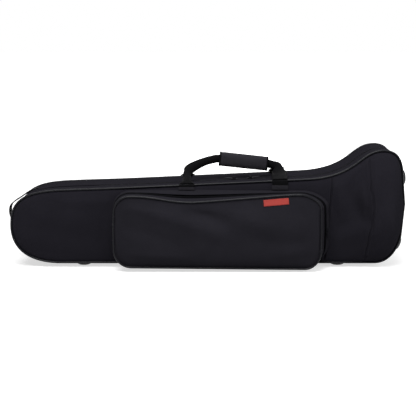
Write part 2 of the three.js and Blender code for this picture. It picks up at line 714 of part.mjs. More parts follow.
function sliderShape() {
  const plate = slab(roundedRect(slider.span, slider.width, slider.width / 3), slider.thickness);
  plate.translate(0, 0, coilTop + seat);
  const flangeTop = coilTop + seat + slider.thickness / 2;
  const flangeFoot = seat - tape.sunk;
  const flangeLength = slider.span - slider.width / 2;
  const flange = new THREE.BoxGeometry(flangeLength, slider.flange, flangeTop - flangeFoot);
  flange.translate(0, (slider.width - slider.flange) / 2, (flangeTop + flangeFoot) / 2);
  const archHeight = slider.bridgeHeight + slider.thickness;
  const arch = roundedRect(slider.bridge, archHeight, slider.bridgeWidth / 2);
  const hole = new THREE.Path();
  const x = bridgeHole.span / 2;
  const low = slider.thickness + bridgeHole.lift - archHeight / 2;
  hole.moveTo(-x, low);
  hole.lineTo(-x, low + bridgeHole.height);
  hole.lineTo(x, low + bridgeHole.height);
  hole.lineTo(x, low);
  arch.holes.push(hole);
  const bridge = slab(arch, slider.bridgeWidth).rotateX(Math.PI / 2);
  bridge.translate(0, slider.bridgeWidth / 2, plateTop - slider.thickness + archHeight / 2);
  return fromSolid(toSolid(plate).add(toSolid(flange)).add(toSolid(bridge)));
}

// A flat tab with a window at its root; the bar across the end of the window passes through the bridge.
function pullShape() {
  const outline = roundedRect(pull.span, pull.width, pull.width / 3);
  const window = new THREE.Path();
  const start = -pull.span / 2 + pull.bar;
  const y = pull.slot / 2;
  window.moveTo(start, -y);
  window.lineTo(start + pull.window, -y);
  window.lineTo(start + pull.window, y);
  window.lineTo(start, y);
  outline.holes.push(window);
  const flat = slab(outline, pull.thickness);
  return flat.translate(pull.span / 2 - pull.bar / 2, 0, pullLift - pull.thickness / 2);
}

// A frame on the zipper whose X points along the zipper and whose Z points outwards.
function zipFrame(origin, along, outward) {
  const across = outward.clone().cross(along);
  return new THREE.Matrix4().makeBasis(along, across, outward).setPosition(origin);
}

for (const [label, way] of [['left', -1], ['right', 1]]) {
  const x = bodyLength - sliderBack[label];
  const frame = zipFrame(place(x, zipPlane, topAt(x)), topAlong, topOut);
  const facing = new THREE.Matrix4().makeRotationZ(way < 0 ? Math.PI : 0);
  piece(`slider_${label}`, sliderShape().applyMatrix4(frame), metal);
  piece(`pull_${label}`, pullShape().applyMatrix4(facing).applyMatrix4(frame), metal);
}

const splitRight = splitLoop.reduce((best, p) => (p.x > best.x ? p : best));
const pocketZipAt = place(splitRight.x, pocketSplit, pocketSliderHeight);
const pocketFrame = zipFrame(pocketZipAt, place(0, 0, -1), place(1, 0, 0));
piece('pocket_slider', sliderShape().applyMatrix4(pocketFrame), metal);
piece('pocket_pull', pullShape().applyMatrix4(pocketFrame), metal);

// Handle anchors: a stitched-down fold of webbing whose top edge is the roll that the strap turns on.
const anchorAxis = (x) => ({ y: -gussetDepth / 2 - anchor.proud + anchor.barrel, z: topAt(x) });

// Its side view, drawn out along the webbing's width: flat on the face, and stepped clear of the piping.
function anchorShape({ back: backFromEnd, height }) {
  const at = bodyLength - backFromEnd;
  const { y, z } = anchorAxis(at);
  const front = -anchor.barrel;
  const clear = pipingDiameter / 2 + 2 * seat;
  const back = -gussetDepth / 2 - y;
  const shape = new THREE.Shape();
  shape.moveTo(front, anchor.corner - height);
  shape.lineTo(front + anchor.corner, -height);
  shape.lineTo(back + overrun, -height);
  shape.lineTo(back + overrun, -clear);
  shape.lineTo(back - clear, -clear);
  shape.lineTo(back - clear, 0);
  shape.absarc(0, 0, anchor.barrel, 0, Math.PI, false);
  shape.closePath();
  const frame = new THREE.Matrix4().makeBasis(place(0, 1, 0), topOut, topAlong).setPosition(at, y, z);
  return cut(slab(shape, webbing.width).translate(0, 0, -webbing.width / 2).applyMatrix4(frame), frontSkin);
}

const anchors = { left: anchorShape(anchorPlaces.left), right: anchorShape(anchorPlaces.right) };

// A strap's path from an anchor towards the grip.
function strapEnd(anchorAt, gripAt, gripHeight, shares) {
  const axis = anchorAxis(anchorAt);
  const root = axis.z + anchor.barrel + seat + webbing.thickness / 2;
  return shares.map(({ run, over, climb, lie, width }) => ({
    at: place(
      THREE.MathUtils.lerp(anchorAt, gripAt, run),
      THREE.MathUtils.lerp(axis.y, strapLayer, over),
      THREE.MathUtils.lerp(root, gripHeight, climb),
    ),
    across: topAlong.clone().multiplyScalar(lie[0]).addScaledVector(topOut, lie[1]),
    width: width * webbing.width,
  }));
}

// One handle strap: up from its left anchor, over into the grip, and down to its right anchor.
const strapLayer = -grip.depth / 4;
const gripCentre = topAt(gripStart + grip.span / 2) + grip.lift;

function strapStations() {
  const gripEnd = gripStart + grip.span;
  const heightAt = (x) => gripCentre + grip.fall / 2 - (grip.fall * (x - gripStart)) / grip.span;
  const inGrip = (x) => {
    return { at: place(x, strapLayer, heightAt(x)), across: topOut.clone(), width: webbing.gripWidth };
  };
  const { left, right } = strapPathShares;
  return [
    ...strapEnd(bodyLength - anchorPlaces.left.back, gripStart, heightAt(gripStart), left),
    inGrip(gripStart - webbing.thickness),
    inGrip(gripStart + grip.span / 2),
    inGrip(gripEnd + webbing.thickness),
    ...strapEnd(bodyLength - anchorPlaces.right.back, gripEnd, heightAt(gripEnd), right).reverse(),
  ];
}

const strap = ribbon(strapStations(), webbing.thickness, strapSteps);

// One leaf of the grip: half of a padded oval sleeve, with a slot for its strap.
function gripLeaf() {
  const edge = [];
  for (let k = 0; k <= grip.sides; k++) {
    const angle = Math.PI / 2 + (k / grip.sides) * Math.PI;
    edge.push(point((grip.depth / 2) * Math.cos(angle) - grip.part, (grip.height / 2) * Math.sin(angle)));
  }
  const shape = new THREE.Shape(edge);
  const frame = new THREE.Matrix4();
  const along = place(grip.span, 0, -grip.fall).normalize();
  const up = place(-along.z, 0, along.x);
  frame.makeBasis(place(0, 1, 0), up, along).setPosition(gripStart, 0, gripCentre + grip.fall / 2);
  const leaf = slab(shape, grip.span).applyMatrix4(frame);
  const fit = strapStations().map((s) => ({ ...s, width: s.width + 2 * seat }));
  return cut(leaf, toSolid(ribbon(fit, webbing.thickness + 2 * seat, strapSteps)));
}

const leaf = gripLeaf();
piece('front_anchor_left', anchors.left, strapWeb);
piece('front_anchor_right', anchors.right, strapWeb);
piece('front_strap', strap, strapWeb);
piece('wrap_front', leaf, padding);
piece('rear_anchor_left', mirrored(anchors.left), strapWeb);
piece('rear_anchor_right', mirrored(anchors.right), strapWeb);
piece('rear_strap', mirrored(strap), strapWeb);
piece('wrap_rear', mirrored(leaf), padding);

// The webbing loop on the slide end: sewn down at both ends, bowed clear of the case between them.
function endHandle() {
  const nearest = (path, height) => path.filter((p) => p.x < slideTip.shoulderRun)
    .reduce((best, p) => (Math.abs(p.y - height) < Math.abs(best.y - height) ? p : best));
  const top = nearest(body.top, endLoop.high);
  const foot = nearest(body.bottom, endLoop.low);
  const half = endLoop.thickness / 2;
  const middle = (top.y + foot.y) / 2;
  const { tabRun, tabRise, tabDrop, crown: peak, shoulder } = endLoopShares;
  const { bow, tab } = endLoop;
  const path = [
    [top.x + tab * tabRun, top.y + tab * tabRise],
    [top.x + half, top.y + endLoop.thickness],
    [top.x - bow * peak, top.y - bow * shoulder],
    [half - bow, middle + bow * shoulder],
    [endLoop.thickness - bow, middle - bow],
    [foot.x - half, foot.y + half],
    [foot.x + tab * tabDrop, foot.y - tab],
  ];
  const across = place(0, 1, 0);
  const stations = path.map(([x, z]) => ({ at: place(x, endLoop.across, z), across, width: endLoop.width }));
  return cut(ribbon(stations, endLoop.thickness, endLoop.steps), rearSkin);
}
piece('end_handle', endHandle(), strapWeb);

// Foam saddles and walls inside, cut to the lining.
function saddle(x, length, low, high, notches, room) {
  const shape = new THREE.Shape();
  shape.moveTo(low.y, low.z);
  shape.lineTo(high.y, low.z);
  for (const notch of notches) {
    shape.lineTo(high.y, notch.z - notch.radius);
    shape.absarc(notch.y, notch.z, notch.radius, -Math.PI / 2, Math.PI / 2, Boolean(notch.clockwise));
    shape.lineTo(high.y, notch.z + notch.radius);
  }
  shape.lineTo(high.y, high.z);
  shape.lineTo(low.y, high.z);
  shape.closePath();
  const frame = new THREE.Matrix4().makeBasis(place(0, 1, 0), place(0, 0, 1), place(1, 0, 0));
  frame.setPosition(x, 0, 0);
  return within(slab(shape, length, notchSteps).applyMatrix4(frame), room);
}

// The saddles stop just short of the plane where the halves meet.
const farSide = bellBulge + gussetDepth;
const rearRim = zipPlane + rimClear;
const rearBox = [{ y: farSide, z: -overrun }, { y: rearRim, z: bellHeight + overrun }];
const neckNotches = [neckCradle.low, neckCradle.high].map(
  (z) => ({ z, radius: neckCradle.notch, y: rearRim }),
);
const bellNotch = { z: bellCradle.centre, radius: bellCradle.notch, y: rearRim };
const bellCradleAt = bodyLength - bellCradle.back;
piece('bell_cradle', saddle(bellCradleAt, bellCradle.span, ...rearBox, [bellNotch], rearRoom), foam);
piece('neck_cradle', saddle(neckCradleAt, neckCradle.span, ...rearBox, neckNotches, rearRoom), foam);
const binWallAt = neckCradleAt - binWall.before;
piece('bin_divider', saddle(binWallAt, binWall.thickness, ...rearBox, [], rearRoom), plush);

// A foam block on the back wall of the bin, with a socket for each of two mouthpieces.
function mouthpieceRest() {
  const block = mouthpieceBlock;
  const shape = roundedRect(block.span, block.height, block.socket / 2);
  for (const way of [-1, 1]) {
    const socket = new THREE.Path();
    socket.absarc((way * block.spread) / 2, 0, block.socket, 0, 2 * Math.PI, true);
    shape.holes.push(socket);
  }
  const back = gussetDepth / 2 + overrun - wallDepth;
  const turned = slab(shape, block.depth + overrun, socketSteps).rotateX(Math.PI / 2);
  return within(turned.translate(block.at, back, block.lift), rearRoom);
}
piece('mouthpiece_block', mouthpieceRest(), foam);

// The slide lies in two saddles in the front half, each with a hook-and-loop strap over it.
const slideSeat = wallDepth - gussetDepth / 2 + slideCradle.top;
const slideSpan = { low: slideCradle.low - slideCradle.margin, high: slideCradle.high + slideCradle.margin };
const slideNotches = [slideCradle.low, slideCradle.high].map(
  (z) => ({ z, radius: slideCradle.notch, y: slideSeat, clockwise: true }),
);

function slideStrapAt(x) {
  const { low, high } = slideSpan;
  const { lift, tail, bow, width, thickness } = slideStrap;
  const over = slideSeat + lift;
  const path = [
    [over - tail, low - lift], [over - lift, low - lift], [over, low + lift], [over + bow, (low + high) / 2],
    [over, high - lift], [over - lift, high + lift], [over - tail, high + lift],
  ];
  const across = place(1, 0, 0);
  return ribbon(path.map(([y, z]) => ({ at: place(x, y, z), across, width })), thickness, slideStrap.steps);
}

for (const [label, x] of [['outer', slideCradle.outer], ['inner', slideCradle.outer + slideCradle.apart]]) {
  const box = [{ y: -farSide, z: slideSpan.low }, { y: slideSeat, z: slideSpan.high }];
  piece(`slide_cradle_${label}`, saddle(x, slideCradle.span, ...box, slideNotches, frontRoom), foam);
  piece(`slide_strap_${label}`, slideStrapAt(x + slideCradle.span / 2), strapWeb);
}

// The origin is at the middle of the part's own box, at the level that its feet stand on.
const reach = new THREE.Box3().setFromObject(group);
const middle = reach.getCenter(place(0, 0, 0));
group.position.set(-middle.x, -middle.y, -reach.min.z);

export default group;
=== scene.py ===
import math

import bmesh
import bpy
from mathutils import Euler, Matrix, Vector, geometry, noise
from mathutils.bvhtree import BVHTree


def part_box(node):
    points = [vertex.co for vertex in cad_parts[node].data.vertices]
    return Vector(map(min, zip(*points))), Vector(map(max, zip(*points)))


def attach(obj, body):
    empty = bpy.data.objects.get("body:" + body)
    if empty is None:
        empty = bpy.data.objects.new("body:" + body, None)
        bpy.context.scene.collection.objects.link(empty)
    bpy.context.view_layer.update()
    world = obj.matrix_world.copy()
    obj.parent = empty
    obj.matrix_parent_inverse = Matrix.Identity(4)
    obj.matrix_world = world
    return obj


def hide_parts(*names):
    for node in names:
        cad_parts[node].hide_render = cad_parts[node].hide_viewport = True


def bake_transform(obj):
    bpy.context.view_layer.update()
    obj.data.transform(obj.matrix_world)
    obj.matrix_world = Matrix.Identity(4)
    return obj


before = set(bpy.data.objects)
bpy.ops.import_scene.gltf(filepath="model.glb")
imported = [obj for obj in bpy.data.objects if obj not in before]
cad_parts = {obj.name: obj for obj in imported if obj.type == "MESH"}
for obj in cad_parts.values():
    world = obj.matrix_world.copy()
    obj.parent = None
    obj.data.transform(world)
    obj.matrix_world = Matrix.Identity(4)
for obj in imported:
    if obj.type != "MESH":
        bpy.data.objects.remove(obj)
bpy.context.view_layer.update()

mm = 0.001

# The case's own frame, in millimetres: X from the slide end, Y from the gusset's middle, Z from the bottom edge
case = {"length": 957, "depth": 180, "zipPlane": -18}
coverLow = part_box("base_cover")[0]
weltLow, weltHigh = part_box("front_piping")
caseOrigin = Vector((coverLow.x, (weltLow.y + weltHigh.y) / 2 + case["depth"] / 2 * mm, coverLow.z))
toFrame = Matrix.Translation(caseOrigin) @ Matrix.Scale(mm, 4)
fromFrame = toFrame.inverted()


def inCase(node):
    low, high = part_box(node)
    return fromFrame @ low, fromFrame @ high


def middleOf(node):
    low, high = inCase(node)
    return (low + high) / 2


# Camera: the photograph's height, tilt and width of view
view = {"place": (0.0091, -2.878, 0.5683), "tilt": 8.553, "lens": 100.86, "sensor": 36}
camera = bpy.data.objects.new("camera", bpy.data.cameras.new("camera"))
bpy.context.scene.collection.objects.link(camera)
camera.location = view["place"]
camera.rotation_euler = Euler((math.radians(90 - view["tilt"]), 0, 0))
camera.data.lens = view["lens"]
camera.data.sensor_width = view["sensor"]
camera.data.clip_end = 100
bpy.context.scene.camera = camera
bpy.context.scene.view_settings.view_transform = "Standard"

# Materials: colours are linear, and a weave's pitch is in metres
clothValues = ("colour", "rough", "pitch", "bump", "sheen", "mottle", "shine")
cloths = {
    "nylon": ((0.0158, 0.0149, 0.0196), 0.62, 0.0009, 0.35, 0.01, 0.14, 0.0),
    "pocketNylon": ((0.0180, 0.0172, 0.0218), 0.60, 0.0009, 0.35, 0.01, 0.16, 0.0),
    "webbing": ((0.0042, 0.0042, 0.0048), 0.6, 0.0014, 0.6, 0.005, 0.20, 0.02),
    "padding": ((0.0262, 0.0250, 0.0300), 0.66, 0.0009, 0.4, 0.01, 0.14, 0.02),
    "zipTape": ((0.0052, 0.0050, 0.0064), 0.7, 0.0008, 0.4, 0.005, 0.12, 0.0),
    "ribbon": ((0.37, 0.045, 0.036), 0.6, 0.0007, 0.4, 0.04, 0.10, 0.15),
    "plush": ((0.0090, 0.0094, 0.0120), 0.95, 0.0016, 0.9, 0.20, 0.22, 0.05),
}
solidValues = ("colour", "rough", "grain", "bump", "shine", "metal")
solids = {
    "vinyl": ((0.005, 0.005, 0.007), 0.26, 0.0012, 0.10, 0.11, 0),
    "coil": ((0.006, 0.006, 0.007), 0.55, 0.0008, 0.08, 0.03, 0),
    "rubber": ((0.010, 0.010, 0.012), 0.32, 0.0010, 0.15, 0.16, 0),
    "foam": ((0.0100, 0.0100, 0.0110), 0.95, 0.0022, 0.7, 0.1, 0),
    "thread": ((0.020, 0.019, 0.024), 0.7, 0.0005, 0.2, 0.04, 0),
    "steel": ((0.006, 0.006, 0.008), 0.5, 0.0015, 0.05, 0.03, 0.2),
    "screw": ((0.36, 0.36, 0.37), 0.34, 0.0015, 0.05, 0.5, 1.0),
}
texture = {
    "sheenRough": 0.45, "clothCloud": 14, "solidCloud": 60, "cloudDetail": 4, "roughSpread": 0.05,
    "weaveStray": 0.4, "weaveShade": 0.35, "grainDetail": 2, "relief": 0.3,
}


def addNode(nodes, kind, inputs=None, **settings):
    node = nodes.new("ShaderNode" + kind)
    for name, value in settings.items():
        setattr(node, name, value)
    for name, value in (inputs or {}).items():
        node.inputs[name].default_value = value
    return node


def startMaterial(name, look):
    material = bpy.data.materials.new(name)
    material.use_nodes = True
    nodes, links = material.node_tree.nodes, material.node_tree.links
    skin = nodes["Principled BSDF"]
    skin.inputs["Metallic"].default_value = look.get("metal", 0)
    skin.inputs["Specular IOR Level"].default_value = look["shine"]
    skin.inputs["Sheen Weight"].default_value = look.get("sheen", 0)
    skin.inputs["Sheen Roughness"].default_value = texture["sheenRough"]
    return material, nodes, links, skin


def tint(nodes, links, skin, look, vector, scale):
    # Soft cloudy change of colour and roughness over the surface
    cloud = addNode(nodes, "TexNoise", {"Scale": scale, "Detail": texture["cloudDetail"]})
    links.new(vector, cloud.inputs["Vector"])
    mottle, spread = look.get("mottle", 0.1), texture["roughSpread"]
    dark, light = [(*[c * (1 + sign * mottle) for c in look["colour"]], 1) for sign in (-1, 1)]
    colour = addNode(nodes, "Mix", {"A": dark, "B": light}, data_type="RGBA")
    links.new(cloud.outputs["Fac"], colour.inputs["Factor"])
    rough = addNode(nodes, "MapRange", {"To Min": look["rough"] - spread, "To Max": min(1, look["rough"] + spread)})
    links.new(cloud.outputs["Fac"], rough.inputs["Value"])
    links.new(rough.outputs["Result"], skin.inputs["Roughness"])
    return colour


def relief(nodes, links, skin, height, strength, grain):
    bump = addNode(nodes, "Bump", {"Strength": strength, "Distance": grain * texture["relief"]})
    links.new(height, bump.inputs["Height"])
    links.new(bump.outputs["Normal"], skin.inputs["Normal"])


def clothMaterial(name, look):
    # Two crossing sets of threads, by the cloth's own UV in metres
    material, nodes, links, skin = startMaterial(name, look)
    where = addNode(nodes, "TexCoord")
    colour = tint(nodes, links, skin, look, where.outputs["Object"], texture["clothCloud"])
    over = addNode(nodes, "Math", operation="SUBTRACT")
    weave = {"Scale": math.pi / 10 / look["pitch"], "Distortion": texture["weaveStray"], "Detail": 0}
    for k, direction in enumerate("XY"):
        wave = addNode(nodes, "TexWave", weave, bands_direction=direction)
        links.new(where.outputs["UV"], wave.inputs["Vector"])
        links.new(wave.outputs["Fac"], over.inputs[k])
    crossing = addNode(nodes, "Math", operation="ABSOLUTE")
    links.new(over.outputs[0], crossing.inputs[0])
    shade = addNode(nodes, "Mix", {"Factor": texture["weaveShade"]}, data_type="RGBA", blend_type="MULTIPLY")
    links.new(colour.outputs["Result"], shade.inputs["A"])
    links.new(crossing.outputs[0], shade.inputs["B"])
    links.new(shade.outputs["Result"], skin.inputs["Base Color"])
    relief(nodes, links, skin, crossing.outputs[0], look["bump"], look["pitch"])
    return material


def solidMaterial(name, look):
    material, nodes, links, skin = startMaterial(name, look)
    where = addNode(nodes, "TexCoord")
    colour = tint(nodes, links, skin, look, where.outputs["Object"], texture["solidCloud"])
    links.new(colour.outputs["Result"], skin.inputs["Base Color"])
    grain = addNode(nodes, "TexNoise", {"Scale": 1 / look["grain"], "Detail": texture["grainDetail"]})
    links.new(where.outputs["Object"], grain.inputs["Vector"])
    relief(nodes, links, skin, grain.outputs["Fac"], look["bump"], look["grain"])
    return material


finishes = {name: clothMaterial(name, dict(zip(clothValues, row))) for name, row in cloths.items()}
finishes.update({name: solidMaterial(name, dict(zip(solidValues, row))) for name, row in solids.items()})
slots = {name: name for name in ("nylon", "webbing", "padding", "ribbon", "plush", "vinyl", "foam")}
slots.update({"pocketNylon": "pocket_nylon", "zipTape": "zip_tape", "coil": "zip_tape", "rubber": "foot_rubber",
              "steel": "zip_metal", "screw": "zip_metal", "thread": "webbing"})
print("materials made:", len(finishes))


# Makers that every piece uses
def clothUv(bm):
    # Lays the cloth on flat from the side that each face looks to, in metres
    layer = bm.loops.layers.uv.verify()
    for face in bm.faces:
        away = [abs(n) for n in face.normal]
        flat = away.index(max(away))
        a, b = [k for k in (0, 1, 2) if k != flat]
        for loop in face.loops:
            loop[layer].uv = (loop.vert.co[a], loop.vert.co[b])


def camel(node):
    first, *others = node.split("_")
    return first + "".join(word.title() for word in others)


def objectOf(bm, name, material):
    mesh = bpy.data.meshes.new(name)
    bm.to_mesh(mesh)
    bm.free()
    mesh.materials.append(material)
    made = bpy.data.objects.new(name, mesh)
    bpy.context.scene.collection.objects.link(made)
    return made


def makePiece(bm, name, body, finish, stands=(), sharp=None, laid=True):
    bmesh.ops.transform(bm, matrix=toFrame, verts=bm.verts)
    bm.normal_update()
    if laid:
        clothUv(bm)
    for face in bm.faces:
        face.smooth = True
    piece = objectOf(bm, name, finishes[finish])
    if sharp:
        piece.data.set_sharp_from_angle(angle=math.radians(sharp))
    if body:
        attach(piece, body)
    if stands:
        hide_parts(*stands)
    return piece


def thicken(piece, thickness, offset=-1):
    wall = piece.modifiers.new("wall", "SOLIDIFY")
    wall.thickness = thickness * mm
    wall.offset = offset
    return piece


def growRing(bm, ring, places):
    # Draws a ring of vertices out and sets each copy at its own place in the case's frame
    edges = [bm.edges.get(pair) for pair in zip(ring, ring[1:] + ring[:1])]
    made = bmesh.ops.extrude_edge_only(bm, edges=edges)["geom"]
    fresh = {v for v in made if isinstance(v, bmesh.types.BMVert)}
    copies = {}
    for v in fresh:
        for edge in v.link_edges:
            other = edge.other_vert(v)
            if other not in fresh:
                copies[other] = v
    grown = [copies[v] for v in ring]
    for v, place in zip(grown, places):
        v.co = place
    return grown


def startRing(bm, places, closed=True):
    ring = [bm.verts.new(place) for place in places]
    for a, b in zip(ring, ring[1:] + (ring[:1] if closed else [])):
        bm.edges.new((a, b))
    return ring


def sweep(bm, sections, closed=False):
    # Draws a closed section through a list of places, and caps or joins its ends
    layer = bm.loops.layers.uv.verify()
    rings = [startRing(bm, sections[0])]
    for places in sections[1:]:
        rings.append(growRing(bm, rings[-1], places))
    if closed:
        ends = [bm.edges.get(pair) for r in (rings[0], rings[-1]) for pair in zip(r, r[1:] + r[:1])]
        bmesh.ops.bridge_loops(bm, edges=ends)
    else:
        for end in (rings[0], rings[-1]):
            bmesh.ops.contextual_create(bm, geom=end)
    # The cloth's own directions: along the sweep and round its section, in metres
    along, reach = {}, 0
    for k, places in enumerate(sections):
        if k:
            middle = sum((Vector(p) for p in places), Vector()) / len(places)
            before = sum((Vector(p) for p in sections[k - 1]), Vector()) / len(places)
            reach += (middle - before).length
        turn = 0
        for n, v in enumerate(rings[k]):
            if n:
                turn += (Vector(sections[0][n]) - Vector(sections[0][n - 1])).length
            along[v] = (reach * mm, turn * mm)
    for face in bm.faces:
        if any(loop.vert not in along for loop in face.loops):
            continue
        around = [along[loop.vert][1] for loop in face.loops]
        for loop in face.loops:
            s, t = along[loop.vert]
            if max(around) - min(around) > 0.6 * turn * mm and t < turn * mm / 2:
                t += turn * mm
            loop[layer].uv = (s, t)
    bmesh.ops.recalc_face_normals(bm, faces=bm.faces)


def sweptPiece(sections, name, body, finish, stands, closed=False):
    bm = bmesh.new()
    sweep(bm, sections, closed)
    return makePiece(bm, name, body, finish, stands, laid=False)


def gridFace(bottom, top, tall, crowded, depthAt):
    # A grid between two paths, its ends drawn to points and its rows crowded to its edges, and the ring round it
    count = len(bottom) - 1
    bm = bmesh.new()
    bmesh.ops.create_grid(bm, x_segments=count, y_segments=tall, size=0.5)
    grid = {(round((v.co.x + 0.5) * count), round((v.co.y + 0.5) * tall)): v for v in bm.verts}
    for (i, j), v in grid.items():
        even = j / tall
        share = lerp(even, 0.5 - 0.5 * math.cos(math.pi * even), crowded)
        p = bottom[i].lerp(top[i], share)
        v.co = (p.x, depthAt(p, share), p.y)
    for i in (0, count):
        bmesh.ops.weld_verts(bm, targetmap={grid[i, j]: grid[i, 0] for j in range(1, tall + 1)})
    return bm, [grid[i, 0] for i in range(count + 1)] + [grid[i, tall] for i in range(count - 1, 0, -1)]


def faceTo(bm, side):
    # Turns the faces so that most look to this side along Y
    bmesh.ops.recalc_face_normals(bm, faces=bm.faces)
    if sum(f.normal.y for f in bm.faces) * side < 0:
        bmesh.ops.reverse_faces(bm, faces=bm.faces)


def upright(p, y=0):
    return Vector((p.x, y, p.y))


def offLoop(p, out, away, y):
    return (p.x + out.x * away, y, p.y + out.y * away)


def turnTo(*axes):
    return Matrix(axes).transposed().to_4x4()


def stepsAlong(points, pitch, due):
    # Even steps along a path: which stretch each is in, how far along it, its place and its direction
    reach = 0.0
    for k, (a, b) in enumerate(zip(points, points[1:])):
        span = (b - a).length
        while span > 1e-6 and due <= reach + span:
            share = (due - reach) / span
            yield k, share, a.lerp(b, share), (b - a).normalized()
            due += pitch
        reach += span


def smoothPath(points, count):
    # A smooth curve through the points, with the steps between them shared out by their distance
    points = [Vector(p) for p in points]
    points = [2 * points[0] - points[1], *points, 2 * points[-1] - points[-2]]
    knots = [0.0]
    for a, b in zip(points, points[1:]):
        knots.append(knots[-1] + max(1e-6, (b - a).length) ** 0.5)
    path = []
    spans = len(points) - 3
    for k in range(count + 1):
        spot = min(k / count * spans, spans - 1e-9)
        i = int(spot)
        times, row = knots[i:i + 4], points[i:i + 4]
        t = times[1] + (times[2] - times[1]) * (spot - i)
        for reach in (1, 2, 3):
            # Each round blends neighbours over a wider stretch, and the last one stays between the middle two
            froms, tos = (times[1:2], times[2:3]) if reach == 3 else (times[:4 - reach], times[reach:])
            row = [a * ((b1 - t) / (b1 - a1)) + b * ((t - a1) / (b1 - a1))
                   for a, b, a1, b1 in zip(row, row[1:], froms, tos)]
        path.append(row[0])
    return path


def ripple(x, y, z):
    return noise.noise(Vector((x, y, z)))


def lerp(a, b, share):
    return a + (b - a) * share


def clamp(value, low=0.0, high=1.0):
    return max(low, min(high, value))


# The body's side outline, as a path along the bottom and one along the top, in columns of the same number
body = {
    "tip": (0, 91), "shoulder": (119, 176), "neck": (716, 204), "crown": (904, 274), "corner": (952, 205),
    "end": (957, 144), "belly": (119, 0), "heel": (886, 0), "heelTop": (950, 66),
    "rise": 54, "settle": 98, "drop": 68, "sweep": 62, "flareLeave": 130, "flareArrive": 58,
    "crownLeave": (34, 0), "cornerArrive": (0, 48), "heelLeave": (36, 0), "heelArrive": (-9, -36),
    "bellEnd": 800, "fuller": 2.0, "fullerSpan": 110,  # the cloth stands a little fuller over the shoulder
}
seams = {  # the two seams of the flare, from the bottom edge to the top edge, and how far each strays from straight
    "flare": {"low": 764, "high": 781, "stray": [(0, 0), (0.25, -1.5), (0.5, 0.5), (0.8, 1), (1, 0)]},
    "bell": {"low": 862, "high": 868, "stray": [(0, 0), (0.08, 1.5), (0.25, 5.5), (0.37, 11), (0.52, 13.5),
                                                (0.6, 11), (0.71, 4), (0.9, 0.5), (1, 0)]},
    "reach": 17, "depth": 2.6, "width": 1.7, "puff": 0.9, "puffAt": 5, "puffSpan": 3, "puckerReach": 14,
}
columns = {"tip": 44, "run": 126, "seam": 40, "flare": 16, "last": 3, "corner": 28, "end": 14}
rows = 60
topSlope = (body["neck"][1] - body["shoulder"][1]) / (body["neck"][0] - body["shoulder"][0])


def curveRun(start, leave, arrive, end, count):
    start, end = Vector(start), Vector(end)
    curve = geometry.interpolate_bezier(start, start + Vector(leave), end + Vector(arrive), end, count + 1)
    return [Vector(p[:2]) for p in curve]


def heightAt(curve, x):
    for a, b in zip(curve, curve[1:]):
        if a.x <= x <= b.x:
            return lerp(a.y, b.y, (x - a.x) / max(1e-9, b.x - a.x))
    return curve[-1].y


def bodyColumns():
    settle, leave = body["settle"], body["flareLeave"]
    flare = curveRun(body["neck"], (leave, leave * topSlope), (-body["flareArrive"], 0), body["crown"], 200)
    shoulder = (body["shoulder"][0], body["shoulder"][1] + body["fuller"])
    top = curveRun(body["tip"], (0, body["rise"]), (-settle, -settle * topSlope), shoulder, columns["tip"])
    bottom = curveRun(body["tip"], (0, -body["drop"]), (-body["sweep"], 0), body["belly"], columns["tip"])
    # Columns stand close together at the seams, so that those can be drawn in
    first, second, reach = seams["flare"], seams["bell"], seams["reach"]
    marks = [(body["belly"][0], body["shoulder"][0], 0)]
    for seam, before in ((first, columns["run"]), (second, columns["flare"])):
        marks.append((seam["low"] - reach, seam["high"] - reach, before))
        marks.append((seam["low"] + reach, seam["high"] + reach, columns["seam"]))
    marks.append((body["heel"][0] + 0.5, body["crown"][0], columns["last"]))
    for (lowA, highA, _), (lowB, highB, count) in zip(marks, marks[1:]):
        for k in range(1, count + 1):
            low, high = lerp(lowA, lowB, k / count), lerp(highA, highB, k / count)
            straight = body["shoulder"][1] + (high - body["shoulder"][0]) * topSlope
            straight += body["fuller"] * math.exp(-((high - body["shoulder"][0]) / body["fullerSpan"]) ** 2)
            top.append(Vector((high, straight if high <= body["neck"][0] else heightAt(flare, high))))
            bottom.append(Vector((low, 0)))
    top += curveRun(body["crown"], body["crownLeave"], body["cornerArrive"], body["corner"], columns["corner"])[1:]
    bottom += curveRun(body["heel"], body["heelLeave"], body["heelArrive"], body["heelTop"], columns["corner"])[1:]
    for path, start in ((top, body["corner"]), (bottom, body["heelTop"])):
        path += [Vector(start).lerp(Vector(body["end"]), k / columns["end"]) for k in range(1, columns["end"] + 1)]
    return bottom, top


def outward(loop):
    outs = []
    for before, after in zip(loop[-1:] + loop[:-1], loop[1:] + loop[:1]):
        way = (after - before).normalized()
        outs.append(Vector((way.y, -way.x)))
    return outs


def inset(bottom, top, distance):
    loop = bottom + top[-2:0:-1]
    moved = [p - out * distance for p, out in zip(loop, outward(loop))]
    last = len(bottom)
    return moved[:last], [moved[0]] + moved[last - 1:][::-1]


bodyBottom, bodyTop = bodyColumns()
bodyLoop = bodyBottom + bodyTop[-2:0:-1]
bodyOuts = outward(bodyLoop)
crown = {"slide": 8, "bell": 43, "flareSeam": 775, "bellSeam": 880, "tipFade": 40, "across": 3, "soften": 0.6,
         "rise": 2, "end": 4}


def faceBulge(x, share):
    roundness = (1 - abs(2 * share - 1) ** crown["across"]) ** crown["soften"]
    climb = clamp((x - crown["flareSeam"]) / (crown["bellSeam"] - crown["flareSeam"]))
    amount = crown["slide"] + (crown["bell"] - crown["slide"]) * climb ** crown["rise"]
    past = clamp((x - crown["bellSeam"]) / (case["length"] - crown["bellSeam"]))
    return amount * roundness * math.sqrt(clamp(x / crown["tipFade"])) * math.sqrt(1 - past ** crown["end"])


# Soft unevenness of the covers: broad hollows, and short puckers beside the seams
cloth = {"broad": 1.5, "broadSpan": 150, "small": 0.5, "smallSpan": 42, "pucker": 0.5, "puckerSpan": 16,
         "puckerAlong": 40, "pull": 0.35, "pullSpan": 30, "ends": 0.6}


